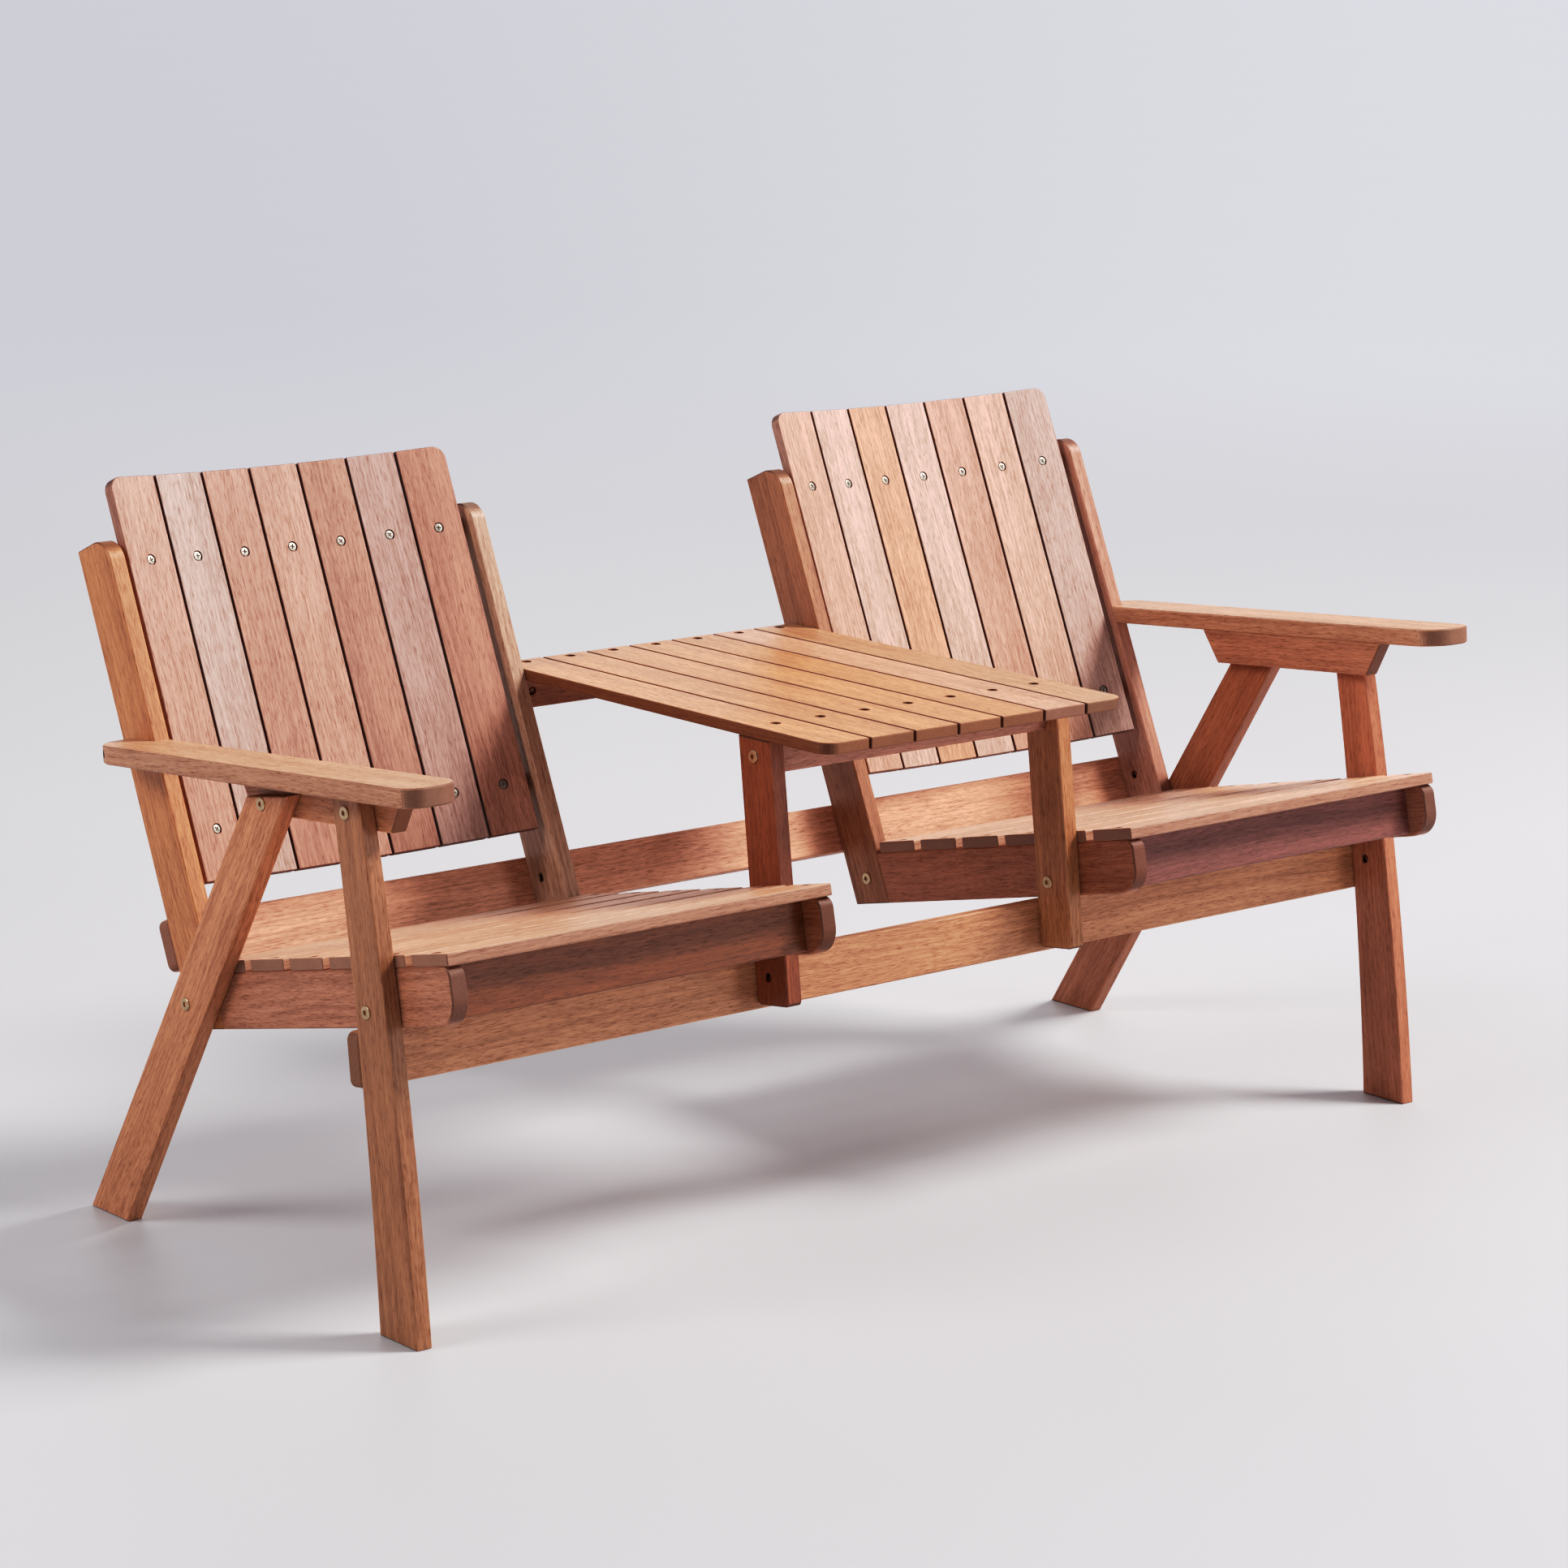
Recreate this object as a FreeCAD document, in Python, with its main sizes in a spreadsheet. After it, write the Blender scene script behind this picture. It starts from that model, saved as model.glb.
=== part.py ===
import FreeCAD, Part
import math
import os
import re

import Sketcher

# A companion seat bench: two slatted garden chairs joined by a small slatted table.
# Frame: the floor is Z = 0 and the bench is symmetric about X = 0. +Z is up, the sitters face -Y
# and Y = 0 is the middle of the depth. Everything is in millimetres and degrees.
# Only the chair on the +X side is drawn. The other one is its mirror image.

SIZES = [
    # stock and overall layout
    ("board", 20, "thickness of every frame board"),
    ("slat_board", 13, "thickness of every slat"),
    ("table_width", 436, "width of the table, and so the clear width between the two chairs"),
    ("chair_width", 496, "width of one chair over its two side rails"),
    ("arris", 1.6, "easing of the long arrises"),
    ("fit", 0.2, "clearance where a flat face meets a curved or slanting edge"),
    # side rails, seat slats and apron, measured along the sloping seat
    ("seat_tilt", 12.5, "slope of the seat, rising to the front"),
    ("rail_rise", 263.4, "height of a side rail's lower edge above the floor at mid-depth"),
    ("rail_width", 60, "width of a side rail"),
    ("rail_nose", 357.6, "reach of a side rail in front of mid-depth"),
    ("nose_top_round", 12, "upper nose radius of a side rail"),
    ("nose_low_round", 28, "lower nose radius of a side rail"),
    ("seat_slat_width", 62, "width of a seat slat"),
    ("seat_back_gap", 6.5, "gap between the rearmost seat slat and the posts"),
    ("seat_slat_count", 6, "number of seat slats in a chair"),
    ("apron_width", 56, "width of the apron under the front seat slats"),
    ("apron_setback", 28.6, "apron's face behind the rails' nose"),
    # back posts and the scooped back, measured along and square to the leaning posts
    ("back_lean", 23.86, "lean of the back"),
    ("post_foot", 65.3, "front lower corner of a post behind mid-depth"),
    ("post_width", 60, "width of a post"),
    ("post_length", 542, "length of a post's front edge"),
    ("post_round", 26, "radius of a post's front upper corner"),
    ("back_side_gap", 5.5, "gap between the outermost back slats and the posts"),
    ("back_slat_gap", 3, "gap between back slats, along the hollow"),
    ("back_slat_start", 158, "lower end of the back slats, along the post"),
    ("back_slat_length", 450, "length of a back slat"),
    ("back_corner", 15, "radius of the outer corners of the slatted back"),
    ("hollow_radius", 1423, "radius of the hollow sawn into the battens"),
    ("hollow_depth", 38.2, "depth of the hollow's middle behind the posts' front edges"),
    ("batten_low", 214, "middle of the lower batten, along the post"),
    ("batten_high", 514, "middle of the upper batten, along the post"),
    ("batten_back", 57, "back of a batten behind the posts' front edges"),
    ("tenon", 8, "length of a batten's stub tenons"),
    ("tenon_shoulder", 5, "shoulder round a stub tenon"),
    # legs
    ("leg_foot_back", 244.1, "front leg's rear edge at the floor, in front of mid-depth"),
    ("leg_foot_width", 64.4, "front leg's width at the floor"),
    ("leg_head_back", 165, "front leg's rear edge under the arm, in front of mid-depth"),
    ("leg_head_width", 45, "front leg's width under the arm"),
    ("leg_bow", 8.8, "bow of the front leg's curved edges"),
    ("rear_foot_front", 231.8, "rear leg's front edge at the floor, behind mid-depth"),
    ("rear_foot_width", 73.6, "rear leg's length along the floor"),
    ("rear_head_back", 12.4, "rear leg's back upper corner, in front of mid-depth"),
    ("rear_head_width", 73.4, "rear leg's depth at its head"),
    ("rear_head_height", 516, "height of the rear leg's back upper corner"),
    ("rear_head_rise", 12.6, "rise of the rear leg's head cut towards the front"),
    # arms and cleats, measured along the sloping arm
    ("arm_rise", 554, "height of the arm's top at mid-depth"),
    ("arm_slope", 5, "slope of the arm, rising to the front"),
    ("arm_width", 72, "width of an arm"),
    ("arm_front", 346.8, "reach of an arm in front of mid-depth"),
    ("arm_back", 236, "reach of an arm behind mid-depth"),
    ("arm_outer_round", 24, "radius of the arm's outer front corner"),
    ("arm_inner_round", 36, "radius of the arm's inner front corner"),
    ("arm_rear_round", 36, "radius of the arm's rear corner"),
    ("cleat_front", 262, "cleat's upper front corner in front of mid-depth"),
    ("cleat_back", 32.5, "cleat's upper back corner behind mid-depth"),
    ("cleat_rake", 24, "how far each end of the cleat rakes in"),
    ("cleat_height", 39.5, "height of a cleat"),
    # table, its posts and its two cross rails
    ("table_height", 558, "height of the table's top"),
    ("table_front", 322, "reach of the table in front of mid-depth"),
    ("table_back", 251, "reach of the table behind mid-depth"),
    ("table_slat_gap", 2.67, "gap between table slats"),
    ("table_slat_count", 7, "number of table slats"),
    ("table_front_round", 20, "radius of the table's front corners"),
    ("table_back_round", 10, "radius of the table's rear corners"),
    ("table_post_lean", 7.5, "lean of the table posts and of the front rail"),
    ("table_post_width", 52, "width of a table post"),
    ("table_post_foot", 262, "height of a table post's front lower corner"),
    ("table_post_round", 6, "radius of a table post's lower corners"),
    ("cross_rail_width", 39.5, "width of a cross rail under the table"),
    ("cross_front", 204, "middle of the front cross rail, in front of mid-depth"),
    ("cross_back", 238, "middle of the rear cross rail, behind mid-depth"),
    # the two long rails that tie the chairs together
    ("front_rail_width", 58, "width of the front rail"),
    ("rear_rail_start", 77.9, "lower edge of the rear rail, along the post"),
    ("rear_rail_width", 57, "width of the rear rail"),
    ("rail_round", 9, "corner radius at the ends of the long rails"),
    # fasteners
    ("screw_head", 4.75, "radius of a screw's countersunk head"),
    ("screw_flange", 2.2, "thickness of a screw's head"),
    ("screw_core", 2, "radius of a screw under its head"),
    ("screw_length", 28, "length of a screw"),
    ("screw_proud", 0.3, "how far a screw's head stands out of the wood"),
    ("back_screw_high", 514, "upper row of back screws, along the post"),
    ("seat_screw_inset", 10, "seat screws from the slats' ends"),
    ("bolt_head", 7.25, "radius of a connector bolt's flat head"),
    ("bolt_flange", 2, "thickness of a connector bolt's head"),
    ("bolt_core", 3.2, "radius of a connector bolt's shank"),
    ("bolt_side", 34, "length of the bolts that join two boards face to face"),
    ("bolt_lap", 17, "length of the bolts through the inner laps"),
    ("bolt_long", 53, "length of the bolts that run into a board's edge or end"),
    ("cap_sleeve", 4.5, "radius of a cap nut's sleeve"),
    ("cap_length", 5, "length of a cap nut's sleeve"),
    ("dowel_radius", 5, "radius of a cross dowel"),
    ("dowel_length", 14, "length of a cross dowel"),
    ("dowel_depth", 21, "cross dowel behind the edge that the long bolt enters"),
    ("cross_dowel_depth", 31, "cross dowel from the end of a cross rail"),
    ("arm_screw_well", 38, "depth of the well for the screw in the arm's rear end"),
    ("arm_screw_place", 214, "screw in the arm's rear end, behind mid-depth"),
    ("cleat_screw_front", 215, "front screw up through the cleat, in front of mid-depth"),
    ("cleat_screw_back", 12, "rear screw up through the cleat, in front of mid-depth"),
    ("lap_bolt_back", 106.5, "bolt through the lap of post and side rail, behind mid-depth"),
    ("lap_bolt_up", 31.2, "height of that bolt above the side rail's lower edge"),
    ("side_bolt_front", 225, "bolt through the side rail near its nose, in front of mid-depth"),
    ("side_bolt_up", 19.2, "height of that bolt above the side rail's lower edge"),
    ("cleat_bolt_front", 190, "bolt through the front leg's head, in front of mid-depth"),
    ("cleat_bolt_drop", 20.5, "that bolt below the arm's underside"),
    ("cleat_bolt_back", 41, "bolt through the rear leg's head, in front of mid-depth"),
    ("cleat_bolt_fall", 24.5, "that bolt below the arm's underside"),
]

# Distances that follow from the sizes, written in their names.
PLACES = {
    "rail_in": "table_width/2",
    "rail_out": "table_width/2 + chair_width",
    "chair_mid": "(table_width + chair_width)/2",
    "seat_clear": "chair_width - 2*board",
    "post_base": "rail_rise - post_foot*tan(seat_tilt)",
    "lean_to_seat": "back_lean - seat_tilt",
    "lap_front": "post_foot/cos(seat_tilt)",
    "lap_back": "lap_front + post_width/cos(lean_to_seat)",
    "arm_under": "arm_rise - board/cos(arm_slope)",
    "arm_tilt": "tan(arm_slope)",
    "leg_head_z": "arm_under + leg_head_back*arm_tilt",
    "leg_nose_z": "arm_under + (leg_head_back + leg_head_width)*arm_tilt",
    "leg_mid_y": "-(leg_foot_back + leg_head_back)/2 - leg_bow",
    "leg_mid_z": "leg_head_z/2",
    "leg_slope": "(leg_foot_back - leg_head_back)/leg_head_z",
    "tie_top_z": "(rail_rise - tan(seat_tilt)*(leg_mid_y - leg_mid_z*leg_slope + fit"
                 " + board*cos(table_post_lean)) - fit + board*sin(table_post_lean))"
                 "/(1 + tan(seat_tilt)*leg_slope)",
    "tie_top_y": "leg_mid_y + (tie_top_z - leg_mid_z)*leg_slope + fit",
    "tie_face": "tie_top_y - tie_top_z*tan(table_post_lean)",
    "tie_low_z": "tie_top_z - front_rail_width*cos(table_post_lean)",
    "table_under": "table_height - slat_board",
    "slat_pitch": "(rail_nose + lap_front + rail_width*tan(lean_to_seat) - seat_back_gap"
                  " - seat_slat_width)/(seat_slat_count - 1)",
    "table_slat_width": "(table_width - table_slat_gap*(table_slat_count - 1))/table_slat_count",
    "table_pitch": "table_slat_width + table_slat_gap",
    "hollow_centre": "hollow_depth - hollow_radius",
    "back_slat_width": "(seat_clear - 2*back_side_gap - 6*back_slat_gap)/7",
    "slat_seat": "sqrt(hollow_radius*hollow_radius - back_slat_width*back_slat_width/4)",
    "back_turn": "(back_slat_width + back_slat_gap)/hollow_radius*180/pi",
    "notch_front": "(post_foot - post_base*tan(back_lean) + arm_under*tan(back_lean))"
                   "/(1 + arm_tilt*tan(back_lean))/cos(arm_slope)",
    "notch_tilt": "tan(back_lean - arm_slope)",
}

doc = FreeCAD.newDocument("companion_seat")
sheet = doc.addObject("Spreadsheet::Sheet", "size")
for row, (name, value, note) in enumerate(SIZES, start=1):
    sheet.set(f"A{row}", note)
    sheet.set(f"B{row}", str(value))
    sheet.setAlias(f"B{row}", name)
doc.recompute()
SIZE_NAMES = {name for name, value, note in SIZES}


def bound(text):
    """The expression with every size and every derived place spelled out for the sheet."""
    def spell(match):
        word = match.group(0)
        if word in SIZE_NAMES:
            return "size." + word
        if word in PLACES:
            return "(" + bound(PLACES[word]) + ")"
        return word
    return re.sub(r"[a-z_]+", spell, str(text))


def value(text):
    """The number that the expression gives now."""
    return float(sheet.evalExpression(bound(text)))


def plane(body, role):
    return next(part for part in body.Origin.OriginFeatures if part.Role == role)


# Sketch axes of the three origin planes, in the body's own frame.
SKETCH_AXES = {
    "XY_Plane": ((1, 0, 0), (0, 1, 0), (0, 0, 1)),
    "XZ_Plane": ((1, 0, 0), (0, 0, 1), (0, -1, 0)),
    "YZ_Plane": ((0, 1, 0), (0, 0, 1), (1, 0, 0)),
}


def sketch_on(body, role, offset="0"):
    sketch = body.newObject("Sketcher::SketchObject", body.Name + "_sketch")
    sketch.AttachmentSupport = [(plane(body, role), "")]
    sketch.MapMode = "FlatFace"
    if offset != "0":
        sketch.setExpression("AttachmentOffset.Base.z", bound(offset))
    return sketch


def pin_point(sketch, geometry, end, across, along):
    """Fix one point of the sketch at a place written in the sizes."""
    for kind, text in (("DistanceX", across), ("DistanceY", along)):
        number = value(text)
        index = sketch.addConstraint(Sketcher.Constraint(kind, -1, 1, geometry, end, number))
        sketch.setExpression(f"Constraints[{index}]", bound(text))


def bowed_edge(start, middle, end):
    """The arc through three points, always drawn anticlockwise, and whether that is forwards."""
    circle = Part.Arc(start, middle, end).toShape().Curve
    forward = (middle - start).cross(end - middle).z > 0
    first, last = (start, end) if forward else (end, start)
    angles = [math.atan2(spot.y - circle.Center.y, spot.x - circle.Center.x)
              for spot in (first, last)]
    if angles[1] < angles[0]:
        angles[1] += 2 * math.pi
    upright = Part.Circle(circle.Center, FreeCAD.Vector(0, 0, 1), circle.Radius)
    return Part.ArcOfCircle(upright, *angles), forward


def draw(sketch, outline):
    """A closed outline. A third entry, (across, along) of a point on the way, bows the next edge."""
    corners = [FreeCAD.Vector(value(point[0]), value(point[1]), 0) for point in outline]
    first = sketch.GeometryCount
    ends = []
    for index, point in enumerate(outline):
        start = corners[index]
        end = corners[(index + 1) % len(corners)]
        if len(point) == 3:
            middle = FreeCAD.Vector(value(point[2][0]), value(point[2][1]), 0)
            arc, forward = bowed_edge(start, middle, end)
            sketch.addGeometry(arc, False)
            ends.append((1, 2) if forward else (2, 1))
        else:
            sketch.addGeometry(Part.LineSegment(start, end), False)
            ends.append((1, 2))
    for index, point in enumerate(outline):
        after = (index + 1) % len(outline)
        sketch.addConstraint(Sketcher.Constraint(
            "Coincident", first + index, ends[index][1], first + after, ends[after][0]))
        pin_point(sketch, first + index, ends[index][0], point[0], point[1])
        if len(point) == 3:
            middle = FreeCAD.Vector(value(point[2][0]), value(point[2][1]), 0)
            mark = sketch.addGeometry(Part.Point(middle), True)
            pin_point(sketch, mark, 1, point[2][0], point[2][1])
            sketch.addConstraint(Sketcher.Constraint("PointOnObject", mark, 1, first + index))


def new_body(label, place=("0", "0", "0"), turn="rotationx(0)"):
    body = doc.addObject("PartDesign::Body", label)
    body.Label = label
    x, y, z = (bound(text) for text in place)
    body.setExpression("Placement", f"placement(vector({x}; {y}; {z}); {bound(turn)})")
    return body


def pad(body, role, outline, thickness):
    sketch = sketch_on(body, role)
    draw(sketch, outline)
    feature = body.newObject("PartDesign::Pad", body.Name + "_pad")
    feature.Profile = sketch
    feature.setExpression("Length", bound(thickness))
    body.Tip = feature
    doc.recompute()
    return feature


def pocket(body, role, outlines, depth, offset="0", reverse=False):
    """Cut outlines out of the body. With no depth the cut goes right through."""
    before = body.Shape.Volume
    sketch = sketch_on(body, role, offset)
    for outline in outlines:
        draw(sketch, outline)
    finish_pocket(body, sketch, depth, reverse, before)


def drill(body, role, centres, radius, depth=None, offset="0", reverse=False):
    """Round holes, right through where no depth is given."""
    before = body.Shape.Volume
    sketch = sketch_on(body, role, offset)
    for across, along in centres:
        middle = FreeCAD.Vector(value(across), value(along), 0)
        circle = sketch.addGeometry(Part.Circle(middle, FreeCAD.Vector(0, 0, 1), value(radius)))
        pin_point(sketch, circle, 3, across, along)
        index = sketch.addConstraint(Sketcher.Constraint("Radius", circle, value(radius)))
        sketch.setExpression(f"Constraints[{index}]", bound(radius))
    finish_pocket(body, sketch, depth, reverse, before)


def finish_pocket(body, sketch, depth, reverse, before):
    feature = body.newObject("PartDesign::Pocket", body.Name + "_pocket")
    feature.Profile = sketch
    if depth is None:
        feature.Type = "ThroughAll"
        feature.SideType = "Symmetric"
    else:
        feature.setExpression("Length", bound(depth))
        feature.Reversed = reverse
    body.Tip = feature
    doc.recompute()
    if body.Shape.Volume > before - 1:
        raise RuntimeError(f"{body.Label}: {feature.Name} removes nothing")


def edge_names(shape, wanted):
    return [f"Edge{index}" for index, edge in enumerate(shape.Edges, start=1) if wanted(edge)]


def round_corners(body, role, corners, radius):
    """Round the outline's corners: the edges that run through the board at these points."""
    across, along, normal = (FreeCAD.Vector(*axis) for axis in SKETCH_AXES[role])
    points = [(value(a), value(b)) for a, b in corners]

    def at_corner(edge):
        if len(edge.Vertexes) != 2:
            return False
        step = edge.Vertexes[1].Point - edge.Vertexes[0].Point
        if step.cross(normal).Length > 1e-4 * step.Length:
            return False
        spot = edge.Vertexes[0].Point
        here = (spot.dot(across), spot.dot(along))
        return any(math.dist(here, point) < 1e-3 for point in points)

    base = body.Tip
    feature = body.newObject("PartDesign::Fillet", body.Name + "_corners")
    feature.Base = (base, edge_names(base.Shape, at_corner))
    feature.setExpression("Radius", bound(radius))
    body.Tip = feature
    doc.recompute()


def ease_faces(body, role):
    """Ease the arrises round both faces of a board, all the way round its outline."""
    normal = FreeCAD.Vector(*SKETCH_AXES[role][2])
    shape = body.Tip.Shape
    levels = [vertex.Point.dot(normal) for vertex in shape.Vertexes]
    low, high = min(levels), max(levels)

    def on_a_face(edge):
        heights = [vertex.Point.dot(normal) for vertex in edge.Vertexes]
        level = sum(heights) / len(heights)
        flat = max(heights) - min(heights) < 1e-4
        return flat and (abs(level - low) < 1e-4 or abs(level - high) < 1e-4)

    ease(body, edge_names(shape, on_a_face))


def ease_length(body, axis):
    """Ease only the long arrises of a board that is padded along its length."""
    direction = FreeCAD.Vector(*axis)

    def runs_along(edge):
        step = edge.Vertexes[-1].Point - edge.Vertexes[0].Point
        return step.Length > 1e-6 and step.cross(direction).Length < 1e-4 * step.Length

    ease(body, edge_names(body.Tip.Shape, runs_along))


def ease(body, names):
    base = body.Tip
    feature = body.newObject("PartDesign::Chamfer", body.Name + "_arris")
    feature.Base = (base, names)
    feature.setExpression("Size", bound("arris"))
    body.Tip = feature
    doc.recompute()


def box(x0, y0, x1, y1):
    return [(x0, y0), (x1, y0), (x1, y1), (x0, y1)]


def mirrored(source, label, across="0"):
    """The mirror image of a piece, across a plane square to X."""
    image = doc.addObject("Part::Mirroring", label)
    image.Label = label
    image.Source = source
    image.Normal = (1, 0, 0)
    image.setExpression("Base.x", bound(across))
    return image


def on_post(depth, along):
    """Y and Z of a point behind the posts' front edges and up along them."""
    y = f"post_foot + ({depth})*cos(back_lean) + ({along})*sin(back_lean)"
    z = f"post_base - ({depth})*sin(back_lean) + ({along})*cos(back_lean)"
    return y, z


LEAN = "rotationx(-back_lean)"
TILT = "rotationx(-seat_tilt)"
ARM = "rotationx(-arm_slope)"
SPARE = "board"
right = {}

LAP_BOLT = ("lap_bolt_back", "rail_rise - lap_bolt_back*tan(seat_tilt) + lap_bolt_up")
SIDE_BOLT = ("-side_bolt_front", "rail_rise + side_bolt_front*tan(seat_tilt) + side_bolt_up")
HEAD_BOLTS = [("-cleat_bolt_front", "arm_under + cleat_bolt_front*arm_tilt - cleat_bolt_drop"),
              ("-cleat_bolt_back", "arm_under + cleat_bolt_back*arm_tilt - cleat_bolt_fall")]
BATTENS = {"lower": "batten_low", "upper": "batten_high"}
TENON_FRONT = "hollow_depth - hollow_radius + sqrt(hollow_radius*hollow_radius" \
              " - seat_clear*seat_clear/4) + tenon_shoulder"
TENON_BACK = "batten_back - tenon_shoulder"
TENON_HALF = "(board/2 - tenon_shoulder + 2)"

# Outer back post. Its foot is cut in line with the side rail's lower edge, and the half of its
# thickness that faces the sitter is cut away there, to lap over the rail's tongue.
post = new_body("right_outer_post", ("rail_out - board", "post_foot", "post_base"), LEAN)
pad(post, "YZ_Plane", [
    ("0", "0"),
    ("post_width", "post_width*tan(lean_to_seat)"),
    ("post_width", "post_length"),
    ("0", "post_length"),
], "board")
round_corners(post, "YZ_Plane", [("0", "post_length")], "post_round")
ease_faces(post, "YZ_Plane")
pocket(post, "YZ_Plane", [[
    (f"-{SPARE}", f"-{SPARE}"),
    (f"post_width + {SPARE}", f"-{SPARE}"),
    (f"post_width + {SPARE}",
     f"(post_width + {SPARE})*tan(lean_to_seat) + rail_width/cos(lean_to_seat)"),
    (f"-{SPARE}", f"rail_width/cos(lean_to_seat) - {SPARE}*tan(lean_to_seat)"),
]], "board/2", reverse=True)
pocket(post, "YZ_Plane", [
    box(TENON_FRONT, f"{height} - {TENON_HALF}", TENON_BACK, f"{height} + {TENON_HALF}")
    for height in BATTENS.values()
], "tenon", reverse=True)
right["outer_post"] = post

# Outer side rail, with its rounded nose and the half-thickness tongue behind the post.
rail = new_body("right_outer_side_rail", ("rail_out - board", "0", "rail_rise"), TILT)
pad(rail, "YZ_Plane", [
    ("-rail_nose", "0"),
    ("lap_back", "0"),
    ("lap_back + rail_width*tan(lean_to_seat)", "rail_width"),
    ("-rail_nose", "rail_width"),
], "board")
round_corners(rail, "YZ_Plane", [("-rail_nose", "0")], "nose_low_round")
round_corners(rail, "YZ_Plane", [("-rail_nose", "rail_width")], "nose_top_round")
ease_faces(rail, "YZ_Plane")
pocket(rail, "YZ_Plane", [[
    (f"lap_front - {SPARE}*tan(lean_to_seat)", f"-{SPARE}"),
    (f"lap_back + {SPARE}", f"-{SPARE}"),
    (f"lap_back + {SPARE} + rail_width", f"rail_width + {SPARE}"),
    (f"lap_front + (rail_width + {SPARE})*tan(lean_to_seat)", f"rail_width + {SPARE}"),
]], "board/2", offset="board")
right["outer_side_rail"] = rail

# Seat slats: one section, repeated up the slope from the nose.
slats = new_body("right_seat_slats", ("rail_in", "0", "rail_rise"), TILT)
section = pad(slats, "YZ_Plane", box(
    "-rail_nose", "rail_width", "seat_slat_width - rail_nose", "rail_width + slat_board"),
    "chair_width")
ease_length(slats, (1, 0, 0))
row = slats.newObject("PartDesign::LinearPattern", "seat_slat_row")
row.Originals = [section, slats.Tip]
row.Direction = (plane(slats, "Y_Axis"), [""])
row.Mode = "Spacing"
row.setExpression("Offset", bound("slat_pitch"))
row.setExpression("Occurrences", bound("seat_slat_count"))
slats.Tip = row
doc.recompute()
right["seat_slats"] = slats

# Apron, between the side rails and under the front slats.
apron = new_body("right_apron", ("rail_in + board", "0", "rail_rise"), TILT)
pad(apron, "YZ_Plane", box(
    "apron_setback - rail_nose", "rail_width - apron_width",
    "apron_setback - rail_nose + board", "rail_width"), "seat_clear")
ease_length(apron, (1, 0, 0))
right["apron"] = apron

# Front leg: both long edges are drawn as arcs that bow forwards, and the leg narrows upwards to
# the arm's underside.
leg = new_body("right_front_leg", ("rail_out", "0", "0"))
pad(leg, "YZ_Plane", [
    ("-leg_foot_back", "0",
     ("leg_mid_y", "leg_mid_z")),
    ("-leg_head_back", "leg_head_z"),
    ("-(leg_head_back + leg_head_width)", "leg_nose_z",
     ("-(leg_foot_back + leg_foot_width + leg_head_back + leg_head_width)/2 - leg_bow",
      "leg_nose_z/2")),
    ("-(leg_foot_back + leg_foot_width)", "0"),
], "board")
ease_faces(leg, "YZ_Plane")
right["front_leg"] = leg

# Rear leg: straight, raked, and a little narrower at its head.
leg = new_body("right_rear_leg", ("rail_out", "0", "0"))
pad(leg, "YZ_Plane", [
    ("rear_foot_front", "0"),
    ("rear_foot_front + rear_foot_width", "0"),
    ("-rear_head_back", "rear_head_height"),
    ("-(rear_head_back + rear_head_width)", "rear_head_height + rear_head_rise"),
], "board")
ease_faces(leg, "YZ_Plane")
right["rear_leg"] = leg

# Arm: notched round the post, so that its inner part stops against the post's front edge and its
# outer part runs back along the post's side. A well in its side takes the screw into the post.
arm = new_body("right_arm", ("rail_out - board", "0", "arm_under"), ARM)
pad(arm, "XY_Plane", box("0", "-arm_front", "arm_width", "arm_back"), "board")
round_corners(arm, "XY_Plane", [("arm_width", "-arm_front")], "arm_outer_round")
round_corners(arm, "XY_Plane", [("0", "-arm_front")], "arm_inner_round")
round_corners(arm, "XY_Plane", [("arm_width", "arm_back")], "arm_rear_round")
ease_faces(arm, "XY_Plane")
pocket(arm, "YZ_Plane", [[
    (f"notch_front - {SPARE}*notch_tilt", f"-{SPARE}"),
    (f"arm_back + 3*{SPARE}", f"-{SPARE}"),
    (f"arm_back + 3*{SPARE}", f"board + {SPARE}"),
    (f"notch_front + (board + {SPARE})*notch_tilt", f"board + {SPARE}"),
]], "board", reverse=True)
drill(arm, "YZ_Plane", [("arm_screw_place", "board/2")], "screw_head", "arm_screw_well",
      offset="arm_width")
right["arm"] = arm

# Cleat under the arm, flush with its inner edge and against the legs' inner faces.
cleat = new_body("right_cleat", ("rail_out - board", "0", "arm_under"), ARM)
pad(cleat, "YZ_Plane", [
    ("-cleat_front", "0"),
    ("cleat_rake - cleat_front", "-cleat_height"),
    ("cleat_back - cleat_rake", "-cleat_height"),
    ("cleat_back", "0"),
], "board")
ease_faces(cleat, "YZ_Plane")
right["cleat"] = cleat

# Table post: leans back to the table, with a square-cut foot.
POST_LINE = "table_post_width/cos(table_post_lean)"
FOOT_Y = f"tie_face + table_post_foot*tan(table_post_lean) - {POST_LINE}"
post = new_body("right_table_post", ("rail_in - board", "0", "0"))
pad(post, "YZ_Plane", [
    (FOOT_Y, "table_post_foot"),
    (f"{FOOT_Y} + table_post_width*cos(table_post_lean)",
     "table_post_foot - table_post_width*sin(table_post_lean)"),
    ("tie_face + table_under*tan(table_post_lean)", "table_under"),
    (f"tie_face + table_under*tan(table_post_lean) - {POST_LINE}", "table_under"),
], "board")
round_corners(post, "YZ_Plane", [
    (FOOT_Y, "table_post_foot"),
    (f"{FOOT_Y} + table_post_width*cos(table_post_lean)",
     "table_post_foot - table_post_width*sin(table_post_lean)"),
], "table_post_round")
ease_faces(post, "YZ_Plane")
right["table_post"] = post

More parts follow.
